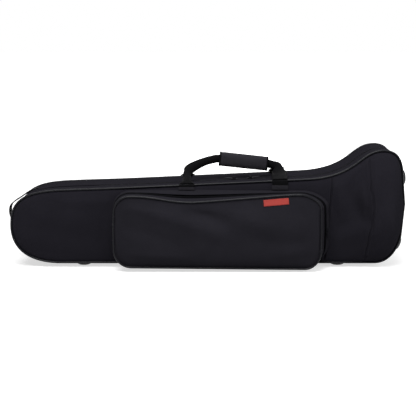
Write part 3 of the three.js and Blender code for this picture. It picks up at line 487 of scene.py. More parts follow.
def coverWave(x, z, seed):
    broad = ripple(x / cloth["broadSpan"], z / (0.7 * cloth["broadSpan"]), seed)
    small = ripple(x / cloth["smallSpan"], z / (1.4 * cloth["smallSpan"]), seed + 5)
    return cloth["broad"] * broad + cloth["small"] * small


def foldLift(x, z, folds):
    # Long soft ridges, and hollows where the height is below nought
    lift = 0
    for start, end, width, height in folds:
        way = Vector(end) - Vector(start)
        share = clamp((Vector((x, z)) - Vector(start)).dot(way) / way.length_squared)
        away = (Vector((x, z)) - Vector(start) - way * share).length
        lift += height * math.exp(-(away / width) ** 2) * lerp(cloth["ends"], 1, math.sin(math.pi * share))
    return lift


def strayAt(seam, share):
    for (a, x), (b, y) in zip(seam["stray"], seam["stray"][1:]):
        if share <= b:
            t = (share - a) / (b - a)
            return lerp(x, y, t * t * (3 - 2 * t))
    return seam["stray"][-1][1]


def seamChannel(x, z, share, seed):
    drawn = 0
    for seam in (seams["flare"], seams["bell"]):
        away = x - lerp(seam["low"], seam["high"], share) - strayAt(seam, share)
        tight = 1 + cloth["pull"] * ripple(z / cloth["pullSpan"], seed, 1.5)
        drawn -= seams["depth"] * tight * math.exp(-(away / seams["width"]) ** 2)
        drawn += seams["puff"] * math.exp(-((abs(away) - seams["puffAt"]) / seams["puffSpan"]) ** 2)
        near = math.exp(-(away / seams["puckerReach"]) ** 2)
        drawn += near * cloth["pucker"] * ripple(x / cloth["puckerAlong"], z / cloth["puckerSpan"], seed + 9)
    return drawn


# Folds run from one place to another, each with a width and a height
faceFolds = {
    "lid": [
        ((862, 238), (830, 182), 15, -7.5),
        ((832, 160), (850, 112), 14, -7.0),
        ((792, 206), (806, 112), 15, 6.5),
        ((850, 190), (856, 128), 11, 4.0),
        ((896, 114), (940, 108), 54, 11.0),
        ((888, 96), (880, 58), 9, 3.0),
        ((800, 62), (852, 84), 22, 5.0),
        ((866, 130), (872, 92), 8, -4.0),
        ((60, 118), (200, 92), 26, 2.4),
        ((30, 66), (150, 40), 22, 1.8),
        ((120, 150), (236, 152), 14, 1.8),
    ],
    "base": [
        ((858, 226), (822, 160), 18, -4.0),
        ((796, 190), (812, 90), 22, 3.0),
        ((900, 150), (938, 140), 36, 6.0),
        ((300, 150), (560, 118), 34, 2.4),
        ((140, 60), (420, 84), 30, -2.2),
        ((520, 60), (720, 96), 32, 2.2),
    ],
}


halves = {"base": {"side": 1, "seed": 3.1, "swell": 4.5}, "lid": {"side": -1, "seed": 11.7, "swell": 0.5}}
swell = {"middle": 772, "reach": 52, "above": 150}  # where the wall's cloth stands out along the flare
zipEdge = {"open": 8.0, "sag": 0.7}


shellRows = {"crowded": 0.55, "corner": 3, "gusset": 9}
softness = {"fadeHigh": 0.12, "fadeLong": 30, "seamFade": 0.02, "sinkFrom": -2, "sinkSpan": 1.6,
            "wallWave": 0.7, "wallAlong": 60, "wallAcross": 30}


def halfShell(half, depth, corner, rim, wave=0.0, sunk=0.0):
    # A crowned face with its rounded edge and the wall that runs back to the rim at the zipper
    side, seed = halves[half]["side"], halves[half]["seed"]
    bottom, top = inset(bodyBottom, bodyTop, depth + corner)
    plane = case["depth"] / 2 - depth - sunk

    def depthAt(p, share):
        lift = faceBulge(p.x, share)
        if wave:
            edge, end = min(share, 1 - share), min(p.x, case["length"] - p.x)
            fade = clamp(edge / softness["fadeHigh"]) * clamp(end / softness["fadeLong"])
            fold = fade * (coverWave(p.x, p.y, seed) + foldLift(p.x, p.y, faceFolds[half]))
            fold += clamp(edge / softness["seamFade"]) * seamChannel(p.x, p.y, share, seed)
            deepest, span = softness["sinkFrom"], softness["sinkSpan"]  # hollows stay off the foam
            lift += wave * (fold if fold > deepest else deepest + span * math.tanh((fold - deepest) / span))
        return side * (plane + lift)

    bm, ring = gridFace(bottom, top, rows, shellRows["crowded"], depthAt)
    loop = [Vector((v.co.x, v.co.z)) for v in ring]
    outs = outward(loop)

    def ringAt(y, out, wavy=0.0):
        places = []
        for p, way in zip(loop, outs):
            far = out
            if wavy:
                along, across = softness["wallAlong"], softness["wallAcross"]
                far += wavy * ripple(p.x / along, y / across, p.y / along + seed)
                if p.y > swell["above"]:
                    far += wavy * halves[half]["swell"] * math.exp(-((p.x - swell["middle"]) / swell["reach"]) ** 2)
            places.append(offLoop(p, way, far, y))
        return places

    for k in range(1, shellRows["corner"] + 1):
        angle = k / shellRows["corner"] * math.pi / 2
        ring = growRing(bm, ring, ringAt(side * (plane - corner * (1 - math.cos(angle))), corner * math.sin(angle)))
    start, stop = side * (plane - corner), rim
    for k in range(1, shellRows["gusset"] + 1):
        share = k / shellRows["gusset"]
        arch = wave * math.sin(math.pi * share)
        ring = growRing(bm, ring, ringAt(lerp(start, stop, share), corner + zipEdge["sag"] * arch,
                                         softness["wallWave"] * arch))
    faceTo(bm, side)
    return bm


layers = {"cover": 2.0, "foam": 15.0, "lining": 2.0, "gap": 0.3, "edge": 4.2, "sunk": 2.0, "foamEdge": 3.5,
          "liningEdge": 7, "loose": 0.6, "rimFoam": 0.6, "rimLining": 0.5}
skins = {}
for half, values in halves.items():
    side = values["side"]
    rim = case["zipPlane"] + side * zipEdge["open"]
    outside = halfShell(half, 0, layers["edge"], rim, wave=1.0)
    skins[half] = BVHTree.FromBMesh(outside)
    thicken(makePiece(outside, half + "Cover", half, "nylon", [half + "_cover"]), layers["cover"] * 0.8)
    foamDepth = layers["cover"] + 2 * layers["gap"]
    foam = halfShell(half, foamDepth + layers["loose"], layers["foamEdge"],
                     case["zipPlane"] + side * layers["rimFoam"], sunk=layers["sunk"])
    shell = makePiece(foam, half + "Shell", half, "foam", [half + "_shell"])
    thicken(shell, layers["foam"] - layers["loose"] - layers["sunk"])
    liningDepth = foamDepth + layers["foam"] + layers["gap"]
    inner = halfShell(half, liningDepth, layers["liningEdge"], case["zipPlane"] + side * layers["rimLining"])
    thicken(makePiece(inner, half + "Lining", half, "plush", [half + "_lining"]), layers["lining"] * 0.8)
print("half shells made")


# Welts: a round cord sewn in round each face
cord = {"radius": 2.5, "sides": 10, "uneven": 0.04, "span": 9}


def welt(node, body, outline, plane):
    turns = [2 * math.pi * k / cord["sides"] for k in range(cord["sides"])]
    sections = []
    for p, out in zip(outline, outward(outline)):
        uneven = ripple(p.x / cord["span"], p.y / cord["span"], plane)
        thick = cord["radius"] * (1 + cord["uneven"] * uneven)
        sections.append([offLoop(p, out, thick * math.cos(turn), plane + thick * math.sin(turn)) for turn in turns])
    sweptPiece(sections, camel(node), body, "vinyl", [node], closed=True)


welt("rear_piping", "base", bodyLoop, case["depth"] / 2)
welt("front_piping", "lid", bodyLoop, -case["depth"] / 2)

# Pocket outline: at the case's face, at the front panel, and anywhere between
pocket = {
    "left": 252, "right": 752, "height": 177, "front": -153, "face": -98, "split": -125.5, "crown": 12,
    "cornerLow": 42, "cornerHigh": 40, "sag": 19, "droop": 4, "sagFrom": 48, "sagTo": 62, "bow": 1, "edge": 5.6,
    "rootLeft": 2, "rootRight": 22, "rootLow": 7, "rootHigh": 1, "quarter": 0.55, "lowest": 0.38,
    "riseRun": 0.2, "rise": 0.3, "drawnLeft": 2.4, "drawnRight": 1.8, "lowLeft": 6, "lowRight": 2, "tight": 5,
    "heavy": 0.68, "shift": 10, "full": 1.25, "fullAlong": 4, "fullUp": 2.6, "fadeUp": 0.16, "fadeAlong": 0.07,
    "wave": 0.8, "seed": 21.3, "rimBow": 0.5, "wall": 1.8, "root": -89,
}
pocketColumns = {"side": 12, "corner": 14, "run": 96}


def follow(start, *stretches):
    # Straight stretches and curves in turn: where each ends, its steps, and for a curve how it leaves and arrives
    path = [Vector(start)]
    for end, count, *bend in stretches:
        if bend:
            path += curveRun(start, *bend, end, count)[1:]
        else:
            path += [Vector(start).lerp(Vector(end), k / count) for k in range(1, count + 1)]
        start = end
    return path


def pocketPaths(root):
    # Root is 1 where the pocket is sewn to the case and 0 at its front, where its cloth is drawn in a little
    front = (1 - root) ** 2 if root < 1 else 0
    left = pocket["left"] - root * pocket["rootLeft"] + front * pocket["drawnLeft"]
    right = pocket["right"] + root * pocket["rootRight"] - front * pocket["drawnRight"]
    low, high = root * pocket["rootLow"], pocket["height"] + root * pocket["rootHigh"]
    sag, droop = (1 - root) * pocket["sag"], (1 - root) * pocket["droop"]
    flat, turn = pocket["cornerLow"], pocket["cornerHigh"]
    lastFlat, lastTurn = flat - front * pocket["tight"], turn - front * pocket["tight"]
    flatBend, turnBend, lastFlatBend, lastTurnBend = [pocket["quarter"] * r for r in (flat, turn, lastFlat, lastTurn)]
    highLeft, highRight = high - front * pocket["lowLeft"], high - front * pocket["lowRight"]
    side, corner, run = pocketColumns["side"], pocketColumns["corner"], pocketColumns["run"]
    tip, end = (left - pocket["bow"], (low + high) / 2), (right + pocket["bow"], (low + high) / 2)
    dip = (lerp(left, right, pocket["lowest"]), high - sag - front)
    rise = ((right - left) * pocket["riseRun"], sag * pocket["rise"])
    far = (right - pocket["sagTo"] + front * pocket["shift"], highRight)
    bottom = follow(
        tip, ((left, low + flat), side), ((left + flat, low), corner, (0, -flatBend), (-flatBend, 0)),
        ((right - lastFlat, low - droop), run),
        ((right, low + lastFlat), corner, (lastFlatBend, 0), (0, -lastFlatBend)), (end, side),
    )
    top = follow(
        tip, ((left, highLeft - turn), side), ((left + turn, highLeft), corner, (0, turnBend), (-turnBend, 0)),
        (dip, run // 2, (pocket["sagTo"], 0), (-pocket["sagTo"], 0)),
        (far, run // 2, rise, (-pocket["sagFrom"], 0)),
        ((right, highRight - lastTurn), corner, (lastTurnBend, 0), (0, lastTurnBend)), (end, side),
    )
    return bottom, top


def pocketAt(y):
    return pocketPaths((y - pocket["front"]) / (pocket["face"] - pocket["front"]))


def loopOf(paths):
    return paths[0] + paths[1][-2:0:-1]


# Folds of the pocket's front, as on the covers
pocketFolds = [
    ((296, 148), (430, 108), 17, 5.0),
    ((430, 108), (536, 70), 20, 4.6),
    ((436, 138), (516, 112), 15, -6.5),
    ((540, 134), (620, 96), 22, 3.2),
    ((286, 98), (410, 58), 20, -3.5),
    ((560, 118), (700, 92), 28, 5.0),
    ((548, 70), (722, 54), 18, -1.2),
    ((650, 36), (735, 44), 16, 3.0),
    ((300, 30), (430, 22), 14, 3.0),
]


def ringOf(paths, y, bow=0.0):
    loop = loopOf(paths)
    return [offLoop(p, out, bow, y) for p, out in zip(loop, outward(loop))]


panelRows = {"up": 44, "crowded": 0.5, "rounding": 4, "rim": 4}


def pocketPanel():
    edge, front = pocket["edge"], pocket["front"]

    def depthAt(p, share):
        along = clamp((p.x - pocket["left"]) / (pocket["right"] - pocket["left"]))
        hung = share ** pocket["heavy"]  # what lies in the pocket pushes it out below its middle
        lift = pocket["crown"] * pocket["full"] * (1 - abs(2 * along - 1) ** pocket["fullAlong"])
        lift *= 1 - abs(2 * hung - 1) ** pocket["fullUp"]
        fade = clamp(min(share, 1 - share) / pocket["fadeUp"]) * clamp(min(along, 1 - along) / pocket["fadeAlong"])
        wave = pocket["wave"] * coverWave(p.x, p.y, pocket["seed"])
        return front - lift - fade * (foldLift(p.x, p.y, pocketFolds) + wave)

    bm, ring = gridFace(*inset(*pocketAt(front), edge), panelRows["up"], panelRows["crowded"], depthAt)
    for k in range(1, panelRows["rounding"] + 1):
        angle = k / panelRows["rounding"] * math.pi / 2
        y = front + edge * (1 - math.cos(angle))
        ring = growRing(bm, ring, ringOf(inset(*pocketAt(y), edge * (1 - math.sin(angle))), y))
    for k in range(1, panelRows["rim"] + 1):
        share = k / panelRows["rim"]
        y = lerp(front + edge, pocket["split"] - zipEdge["open"], share)
        ring = growRing(bm, ring, ringOf(pocketAt(y), y, pocket["rimBow"] * math.sin(math.pi * share)))
    faceTo(bm, -1)
    return bm


wallSlack = {"rows": 12, "sewn": 4, "least": 0.8, "wave": 1.2, "span": 35, "across": 14}


def pocketWall():
    # The gusset between the case's face and the pocket's zipper, a little slack between its two sewn edges
    bm = bmesh.new()
    start, count = pocket["split"] + zipEdge["open"], wallSlack["rows"]
    ring = startRing(bm, ringOf(pocketAt(start), start))
    for k in range(1, count + 1):
        y = lerp(start, pocket["root"], k / count)
        slack = math.sin(math.pi * min(1, k / (count - wallSlack["sewn"])))
        loop = loopOf(pocketAt(y))
        places = []
        for p, out in zip(loop, outward(loop)):
            wave = ripple(p.x / wallSlack["span"], y / wallSlack["across"], p.y / wallSlack["span"])
            places.append(offLoop(p, out, slack * (wallSlack["least"] + wallSlack["wave"] * wave), y))
        ring = growRing(bm, ring, places)
    bmesh.ops.recalc_face_normals(bm, faces=bm.faces)
    middle = Vector(((pocket["left"] + pocket["right"]) / 2, start, pocket["height"] / 2))
    if sum(f.normal.dot(f.calc_center_median() - middle) for f in bm.faces) < 0:
        bmesh.ops.reverse_faces(bm, faces=bm.faces)
    return bm


panel = pocketPanel()
skins["panel"] = BVHTree.FromBMesh(panel)
thicken(makePiece(panel, "pocketPanel", "pocket_front", "pocketNylon", ["pocket_panel", "pocket_rim"]),
        pocket["wall"])
thicken(makePiece(pocketWall(), "pocketGusset", "lid", "pocketNylon", ["pocket_gusset"]), pocket["wall"])
pocketLoop = loopOf(pocketAt(pocket["front"]))
welt("pocket_piping", "pocket_front", pocketLoop, pocket["front"])
print("pocket made")


# Zippers: two woven tapes with a coil along their meeting edges, over the part of a loop that opens
tape = {"width": 7.4, "gap": 0.3, "sunk": 0.9, "thick": 1.0, "overlap": 1.6, "pitch": 2.2, "tooth": 2.4,
        "wide": 0.75, "narrow": 0.6, "proud": 0.55, "past": 0.5, "dip": 0.3, "flat": 0.2}


def openRun(loop, hingeNode):
    # The loop's points in order, without the stretch along the bottom that the hinge strip takes
    low, high = inCase(hingeNode)
    top = max(p.y for p in loop) / 2
    onHinge = [p.y < top and low.x < p.x < high.x for p in loop]
    first = next(k for k in range(len(loop)) if onHinge[k - 1] and not onHinge[k])
    turned = list(range(first, len(loop))) + list(range(first))
    return [k for k in turned if not onHinge[k]]


def zipHalf(name, node, body, loop, plane, side, hingeNode):
    outs = outward(loop)
    run = openRun(loop, hingeNode)
    near, far = plane + side * tape["gap"], plane + side * (tape["gap"] + tape["width"] + tape["overlap"])
    over, under = -tape["sunk"], -tape["sunk"] - tape["thick"]
    section = [(under, near), (under, far), (over - tape["dip"], far), (over, lerp(far, near, tape["flat"])),
               (over, near)]
    if side > 0:
        section.reverse()
    sections = [[offLoop(loop[k], outs[k], away, y) for away, y in section] for k in run]
    sweptPiece(sections, name, body, "zipTape", [node])
    # The coil's turns stand across the tape's edge
    coil = bmesh.new()
    across, start = Vector((0, side, 0)), 0.0 if side > 0 else tape["pitch"] / 2
    for k, _, spot, _ in stepsAlong([upright(loop[k]) for k in run], tape["pitch"], start):
        out = upright(outs[run[k]])
        centre = spot + out * (over + tape["proud"])
        centre.y += near + side * (tape["tooth"] / 2 - tape["past"])
        bmesh.ops.create_cone(coil, cap_ends=True, segments=6, radius1=tape["wide"], radius2=tape["narrow"],
                              depth=tape["tooth"],
                              matrix=Matrix.Translation(centre) @ turnTo(out.cross(across), out, across))
    makePiece(coil, name + "Coil", body, "coil", sharp=40)


def sliderLine(p):
    # The cloth stands fuller over the shoulder, but the zipper keeps to the line that its sliders run on
    away = p.x - body["shoulder"][0]
    share = math.exp(-(away / body["fullerSpan"]) ** 2) if away > 0 else 1 - (away / body["shoulder"][0]) ** 2
    return p if p.y < body["tip"][1] else Vector((p.x, p.y - body["fuller"] * share))


zipLoop = [sliderLine(p) for p in bodyLoop]
splitLoop = loopOf(pocketAt(pocket["split"]))
for half, side in (("base", 1), ("lid", -1)):
    zipHalf(half + "ZipTape", half + "_zipper_tape", half, zipLoop, case["zipPlane"], side, "hinge_gusset")
for node, half, side in (("pocket_gusset_tape", "lid", 1), ("pocket_panel_tape", "pocket_front", -1)):
    zipHalf(camel(node), node, half, splitLoop, pocket["split"], side, "pocket_hinge")
print("zippers made")


# The uncut strips that the halves and the pocket open on
uncut = {"over": 0.4, "under": 1.6, "across": 12, "beyond": 2, "inside": 1}


def hingeStrip(node, loop, plane, finish):
    low, high = inCase(node)
    top = max(p.y for p in loop) / 2
    reach = tape["width"] + tape["gap"] + tape["overlap"]
    ways = [plane + lerp(-reach, reach, n / uncut["across"]) for n in range(uncut["across"] + 1)]
    section = [(-uncut["over"], y) for y in ways] + [(-uncut["under"], y) for y in reversed(ways)]
    sections = [[offLoop(p, out, away, y) for away, y in section] for p, out in zip(loop, outward(loop))
                if p.y < top and low.x - uncut["beyond"] < p.x < high.x + uncut["beyond"]]
    strip = sweptPiece(sections, camel(node), None, finish, [node])
    rear, front = [toFrame @ Vector((0, plane + side * (reach - uncut["inside"]), 0)) for side in (1, -1)]
    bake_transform(strip)
    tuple(rear)
    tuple(front)


hingeStrip("hinge_gusset", bodyLoop, case["zipPlane"], "nylon")
hingeStrip("pocket_hinge", splitLoop, pocket["split"], "pocketNylon")

# Feet: moulded domes with a screw in a recess
foot = {"radius": 20, "rim": 3.5, "height": 12, "cap": 9, "root": 3, "recess": 4.2, "sink": 2.4, "edge": 0.8,
        "taper": 0.6, "step": 0.4, "lip": 0.5, "domeSteps": 7, "around": 40}
screw = {"play": 0.7, "taper": 0.8, "thick": 1.4, "slot": 1.2, "slotWide": 0.7, "slotDeep": 0.5, "slotDown": 1.05}


def footShape():
    bm = bmesh.new()
    radius, rim, top = foot["radius"], foot["rim"], foot["height"]
    profile = [(radius - foot["taper"], -foot["root"]), (radius, foot["edge"] - foot["root"]),
               (radius, rim - foot["edge"])]
    for k in range(foot["domeSteps"] + 1):
        angle = k / foot["domeSteps"] * math.pi / 2
        profile.append((lerp(foot["cap"], radius - foot["step"], math.cos(angle)), lerp(rim, top, math.sin(angle))))
    profile += [(foot["recess"] + foot["lip"], top), (foot["recess"], top - foot["lip"]),
                (foot["recess"], top - foot["sink"])]
    chain = startRing(bm, [(r, 0, h) for r, h in profile], closed=False)
    edges = [bm.edges.get(pair) for pair in zip(chain, chain[1:])]
    bmesh.ops.spin(bm, geom=chain + edges, cent=(0, 0, 0), axis=(0, 0, 1), angle=2 * math.pi,
                   steps=foot["around"], use_merge=True)
    bmesh.ops.remove_doubles(bm, verts=bm.verts, dist=0.001)
    bmesh.ops.holes_fill(bm, edges=[e for e in bm.edges if e.is_boundary], sides=0)
    bmesh.ops.recalc_face_normals(bm, faces=bm.faces)
    return bm


def screwShape():
    bm = bmesh.new()
    head = foot["recess"] - screw["play"]
    seat = Matrix.Translation((0, 0, foot["height"] - foot["sink"] + screw["thick"] / 2))
    bmesh.ops.create_cone(bm, cap_ends=True, segments=24, radius1=head, radius2=head * screw["taper"],
                          depth=screw["thick"], matrix=seat)
    slot = Matrix.Diagonal((head * screw["slot"], screw["slotWide"], screw["slotDeep"], 1))
    for turn in (0, math.pi / 2):
        sunk = Matrix.Translation((0, 0, foot["height"] - screw["slotDown"])) @ Matrix.Rotation(turn, 4, "Z")
        bmesh.ops.create_cube(bm, size=1, matrix=sunk @ slot)
    return bm


for half in halves:
    for place in ("foot_slide", "foot_bell", "end_foot_low", "end_foot_high"):
        node = f"{half}_{place}"
        centre = middleOf(node)
        out, root = Vector((0, 0, -1)), Vector((centre.x, centre.y, 0))
        if place.startswith("end"):
            near = min((k for k, p in enumerate(bodyLoop) if p.x > body["bellEnd"]),
                       key=lambda k: abs(bodyLoop[k].y - centre.z))
            out, root = upright(bodyOuts[near]), upright(bodyLoop[near], centre.y)
        across = Vector((0, 1, 0))
        seated = Matrix.Translation(root) @ turnTo(across.cross(out), across, out)
        dome, head = footShape(), screwShape()
        for shape in (dome, head):
            bmesh.ops.transform(shape, matrix=seated, verts=shape.verts)
        makePiece(dome, camel(node), half, "rubber", [node], sharp=35)
        makePiece(head, camel(node) + "Screw", half, "screw", sharp=35)
print("feet made")

# Handle: webbing from each anchor into the padded grip
handle = {
    "left": 428, "right": 654, "proud": 8.4, "barrel": 2.4, "seat": 0.3, "thick": 3, "width": 38, "gripWidth": 20,
    "start": 508.4, "span": 121.2, "tall": 35, "deep": 26.5, "lift": 42, "fall": 12.8, "part": 0.3, "tuck": 9.5,
    "binding": 3.8, "proudBinding": 0.5, "inside": 3, "steps": 132,
}
# From each anchor to the grip: shares of the run, of the way in and of the climb, the way that the webbing's
# width lies, and the share of its width that shows, because it is tucked lengthwise where it enters the grip
leftShares = [
    (0, 0.04, 0, (-1, 0), 1), (0, 0.16, 0.13, (-1, 0), 0.6), (0.01, 0.35, 0.27, (-1, 0.1), 0.52),
    (0.05, 0.63, 0.44, (-0.7, 0.7), 0.56), (0.18, 0.8, 0.6, (-0.55, 0.85), 0.56),
    (0.55, 0.97, 0.86, (-0.3, 0.96), 0.52), (0.78, 0.99, 0.96, (-0.1, 1), 0.52),
]
rightShares = [
    (0, 0.04, 0, (1, 0), 1), (0, 0.33, 0.24, (1, 0), 1), (-0.06, 0.55, 0.36, (1, 0.1), 1),
    (0.07, 0.8, 0.58, (0.97, 0.22), 0.8), (0.19, 0.93, 0.83, (0.8, 0.6), 0.64),
    (0.54, 0.98, 0.88, (0.2, 0.98), 0.54),
]
topAlong = Vector((1, 0, topSlope)).normalized()
topOut = Vector((-topSlope, 0, 1)).normalized()


def topAt(x):
    return body["shoulder"][1] + (x - body["shoulder"][0]) * topSlope


gripMiddle = topAt(handle["start"] + handle["span"] / 2) + handle["lift"]
strapLayer = -handle["deep"] / 4


def gripAt(x):
    return gripMiddle + handle["fall"] / 2 - handle["fall"] * (x - handle["start"]) / handle["span"]


def strapEnd(anchorX, gripX, shares):
    axisY = -case["depth"] / 2 - handle["proud"] + handle["barrel"]
    root = topAt(anchorX) + handle["barrel"] + handle["seat"] + handle["thick"] / 2
    return [(
        Vector((lerp(anchorX, gripX, run), lerp(axisY, strapLayer, over), lerp(root, gripAt(gripX), climb))),
        topAlong * lie[0] + topOut * lie[1], width * handle["width"],
    ) for run, over, climb, lie, width in shares]


def strapStations():
    start, end = handle["start"], handle["start"] + handle["span"]
    inside = [(Vector((x, strapLayer, gripAt(x))), topOut.copy(), handle["gripWidth"])
              for x in (start - handle["inside"], (start + end) / 2, end + handle["inside"])]
    return strapEnd(handle["left"], start, leftShares) + inside + strapEnd(handle["right"], end, rightShares)[::-1]


webbing = {"curl": 0.5, "edge": 0.97, "shares": (0.86, 0.6, 0.3, 0, -0.3, -0.6, -0.86), "slim": 0.4}


def ribbonSections(stations, thick, count, fullWidth, tuck=0.0):
    # Closed sections with rounded edges for a strap of webbing; where less of its width shows, its edges turn in
    path = smoothPath([s[0] for s in stations], count)
    turns = smoothPath([s[1] for s in stations], count)
    sections = []
    for k, spot in enumerate(path):
        along = (path[min(k + 1, count)] - path[max(k - 1, 0)]).normalized()
        across = (turns[k] - along * turns[k].dot(along)).normalized()
        out = across.cross(along)
        share = k / count * (len(stations) - 1)
        n = min(int(share), len(stations) - 2)
        width = lerp(stations[n][2], stations[n + 1][2], share - n)
        half, rim = width / 2, thick / 2
        curl = webbing["curl"] + tuck * (1 - width / fullWidth)
        face = [(-half * a, curl * a * a - rim) for a in webbing["shares"]]
        back = [(-half * a, curl * a * a + rim) for a in reversed(webbing["shares"])]
        outline = [(-half, curl * webbing["edge"]), *face, (half, curl * webbing["edge"]), *back]
        sections.append([spot + across * a + out * b for a, b in outline])
    return sections


def mirror(bm):
    bmesh.ops.scale(bm, vec=(1, -1, 1), verts=bm.verts)
    bmesh.ops.reverse_faces(bm, faces=bm.faces)


sleeve = {"square": 0.52, "sides": 22, "flatSteps": 5, "lengths": 34, "tallShare": 0.35, "wave": 0.7,
        "waveAlong": 22, "waveRound": 5, "held": 2.2}
drawn = {"end": 0.10, "endSpan": 3.0, "neck": 0.05, "neckAt": 8, "neckSpan": 2.0}


def gripFull(fromEnd):
    # How much of its full size the sleeve has: drawn in at its ends and beside their bindings
    neck = drawn["neck"] * math.exp(-((fromEnd - drawn["neckAt"]) / drawn["neckSpan"]) ** 2)
    return 1 - drawn["end"] * math.exp(-fromEnd / drawn["endSpan"]) - neck


def gripSection(reach, grow=0.0):
    # The outline of half the sleeve, from its top round its front to its bottom, and back up its flat side
    along = Vector((handle["span"], 0, -handle["fall"])).normalized()
    up = Vector((-along.z, 0, along.x))
    spot = Vector((handle["start"], 0, gripMiddle + handle["fall"] / 2)) + along * reach
    full = gripFull(min(reach, handle["span"] - reach))
    tall = (handle["tall"] / 2 + grow) * (1 - sleeve["tallShare"] * (1 - full))
    shape = []
    for n in range(sleeve["sides"]):
        angle = math.pi / 2 + math.pi * n / (sleeve["sides"] - 1)
        a = -abs(math.cos(angle)) ** sleeve["square"] * (handle["deep"] / 2 * full + grow) - handle["part"]
        b = math.copysign(abs(math.sin(angle)) ** sleeve["square"], math.sin(angle)) * tall
        if not grow:
            wave = ripple(reach / sleeve["waveAlong"], n / sleeve["waveRound"], 2.4)
            a -= sleeve["wave"] * wave * abs(math.cos(angle))
        shape.append(spot + Vector((0, a, 0)) + up * b)
    for n in range(1, sleeve["flatSteps"]):
        shape.append(spot + Vector((0, -handle["part"], 0)) + up * lerp(-1, 1, n / sleeve["flatSteps"]) * tall)
    return shape


def gripLeaf():
    bm = bmesh.new()
    sweep(bm, [gripSection(handle["span"] * k / sleeve["lengths"]) for k in range(sleeve["lengths"] + 1)])
    return bm


def gripBindings():
    bm = bmesh.new()
    wide = handle["binding"]
    rings = [(-0.4, 0.2), (0.4, 1), (1.6, 1), (wide - 0.6, 1), (wide, 0.2)]  # place, and share of its thickness
    sweep(bm, [gripSection(r, share * handle["proudBinding"]) for r, share in rings])
    sweep(bm, [gripSection(handle["span"] - r, share * handle["proudBinding"]) for r, share in rings])
    return bm


def settled(piece):
    # The piece's shape with its modifiers applied, and the cloth laid on it anew
    bpy.context.view_layer.update()
    mesh = bpy.data.meshes.new_from_object(piece.evaluated_get(bpy.context.evaluated_depsgraph_get()))
    piece.modifiers.clear()
    piece.data = mesh
    bm = bmesh.new()
    bm.from_mesh(mesh)
    bm.normal_update()
    clothUv(bm)
    for face in bm.faces:
        face.smooth = True
    bm.to_mesh(mesh)
    bm.free()
    return piece


puffing = {"voxel": 2.6, "pressure": 4.0, "frames": 20, "cap": 2.2, "quality": 6}


def remeshed(piece, voxel):
    remesh = piece.modifiers.new("remesh", "REMESH")
    remesh.mode = "VOXEL"
    remesh.voxel_size = voxel * mm
    return piece


def puffUp(piece, holds):
    # Cloth with air in it: a finely remeshed copy swells between the places that hold it
    settled(remeshed(piece, puffing["voxel"]))
    start = [v.co.copy() for v in piece.data.vertices]
    held = piece.vertex_groups.new(name="held")
    held.add([k for k, p in enumerate(start) if holds(fromFrame @ p)], 1.0, "REPLACE")
    puff = piece.modifiers.new("puff", "CLOTH")
    puff.settings.quality = puffing["quality"]
    puff.settings.use_pressure = True
    puff.settings.uniform_pressure_force = puffing["pressure"]
    puff.settings.vertex_group_mass = "held"
    puff.settings.effector_weights.gravity = 0
    puff.point_cache.frame_start, puff.point_cache.frame_end = 1, puffing["frames"]
    scene = bpy.context.scene
    for step in range(1, puffing["frames"] + 1):
        scene.frame_set(step)
    graph = bpy.context.evaluated_depsgraph_get()
    swollen = [v.co.copy() for v in piece.evaluated_get(graph).data.vertices]
    piece.modifiers.clear()
    piece.vertex_groups.clear()
    cap = puffing["cap"] * mm
    for v, a, b in zip(piece.data.vertices, start, swollen):
        move = b - a
        v.co = a + (move.normalized() * min(cap, move.length) if move.length > 1e-9 else move)
    scene.frame_set(1)
    smooth = piece.modifiers.new("smooth", "SUBSURF")
    smooth.levels = smooth.render_levels = 1
    return settled(piece)


def heldAt(p):
    # The grip is held at its two bound ends and at the flat side where its halves meet
    reach = p.x - handle["start"]
    return reach < handle["binding"] or reach > handle["span"] - handle["binding"] or abs(p.y) < sleeve["held"]


for word in ("front", "rear"):
    moved = word + "_handle"
    strap = bmesh.new()
    sweep(strap, ribbonSections(strapStations(), handle["thick"] - webbing["slim"], handle["steps"],
                                handle["width"], handle["tuck"]))
    leaf, bindings = gripLeaf(), gripBindings()
    if word == "rear":
        for bm in (strap, leaf, bindings):
            mirror(bm)
    makePiece(strap, word + "Strap", moved, "webbing", [word + "_strap"], laid=False)
    grip = makePiece(leaf, word + "Grip", moved, "padding", ["wrap_" + word])
    puffUp(grip, heldAt)
    makePiece(bindings, word + "GripBinding", moved, "webbing")


# Copies of the solids: merged, their flat faces joined, and their edges rounded
merge = {"near": 0.002, "flat": 2}
rounded = {"anchor": 0.9, "slider": 0.25, "pull": 0.3, "strap": 0.5, "angle": 30, "strapAngle": 40, "shade": 50}
softened = {"voxel": 2.2, "factor": 0.5, "rounds": 4}


def cadCopy(node):
    bm = bmesh.new()
    bm.from_mesh(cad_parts[node].data)
    bmesh.ops.transform(bm, matrix=fromFrame, verts=bm.verts)
    bmesh.ops.remove_doubles(bm, verts=bm.verts, dist=merge["near"])
    bmesh.ops.dissolve_limit(bm, angle_limit=math.radians(merge["flat"]), verts=bm.verts, edges=bm.edges)
    return bm


def bevelSharp(bm, radius, angle, clamped=True):
    sharp = [e for e in bm.edges if len(e.link_faces) == 2 and e.calc_face_angle(0) > math.radians(angle)]
    bmesh.ops.bevel(bm, geom=sharp, offset=radius, segments=2, profile=0.5, affect="EDGES", material=-1,
                    clamp_overlap=clamped)


def roundedCopy(node, body, finish, radius):
    bm = cadCopy(node)
    bevelSharp(bm, radius, rounded["angle"])
    makePiece(bm, camel(node), body, finish, [node], sharp=rounded["shade"])


def softCopy(node, body, finish):
    # A foam or plush block: remeshed finely and smoothed until its edges are soft
    piece = remeshed(makePiece(cadCopy(node), camel(node), body, finish, [node]), softened["voxel"])
    smooth = piece.modifiers.new("smooth", "SMOOTH")
    smooth.factor, smooth.iterations = softened["factor"], softened["rounds"]
    return settled(piece)


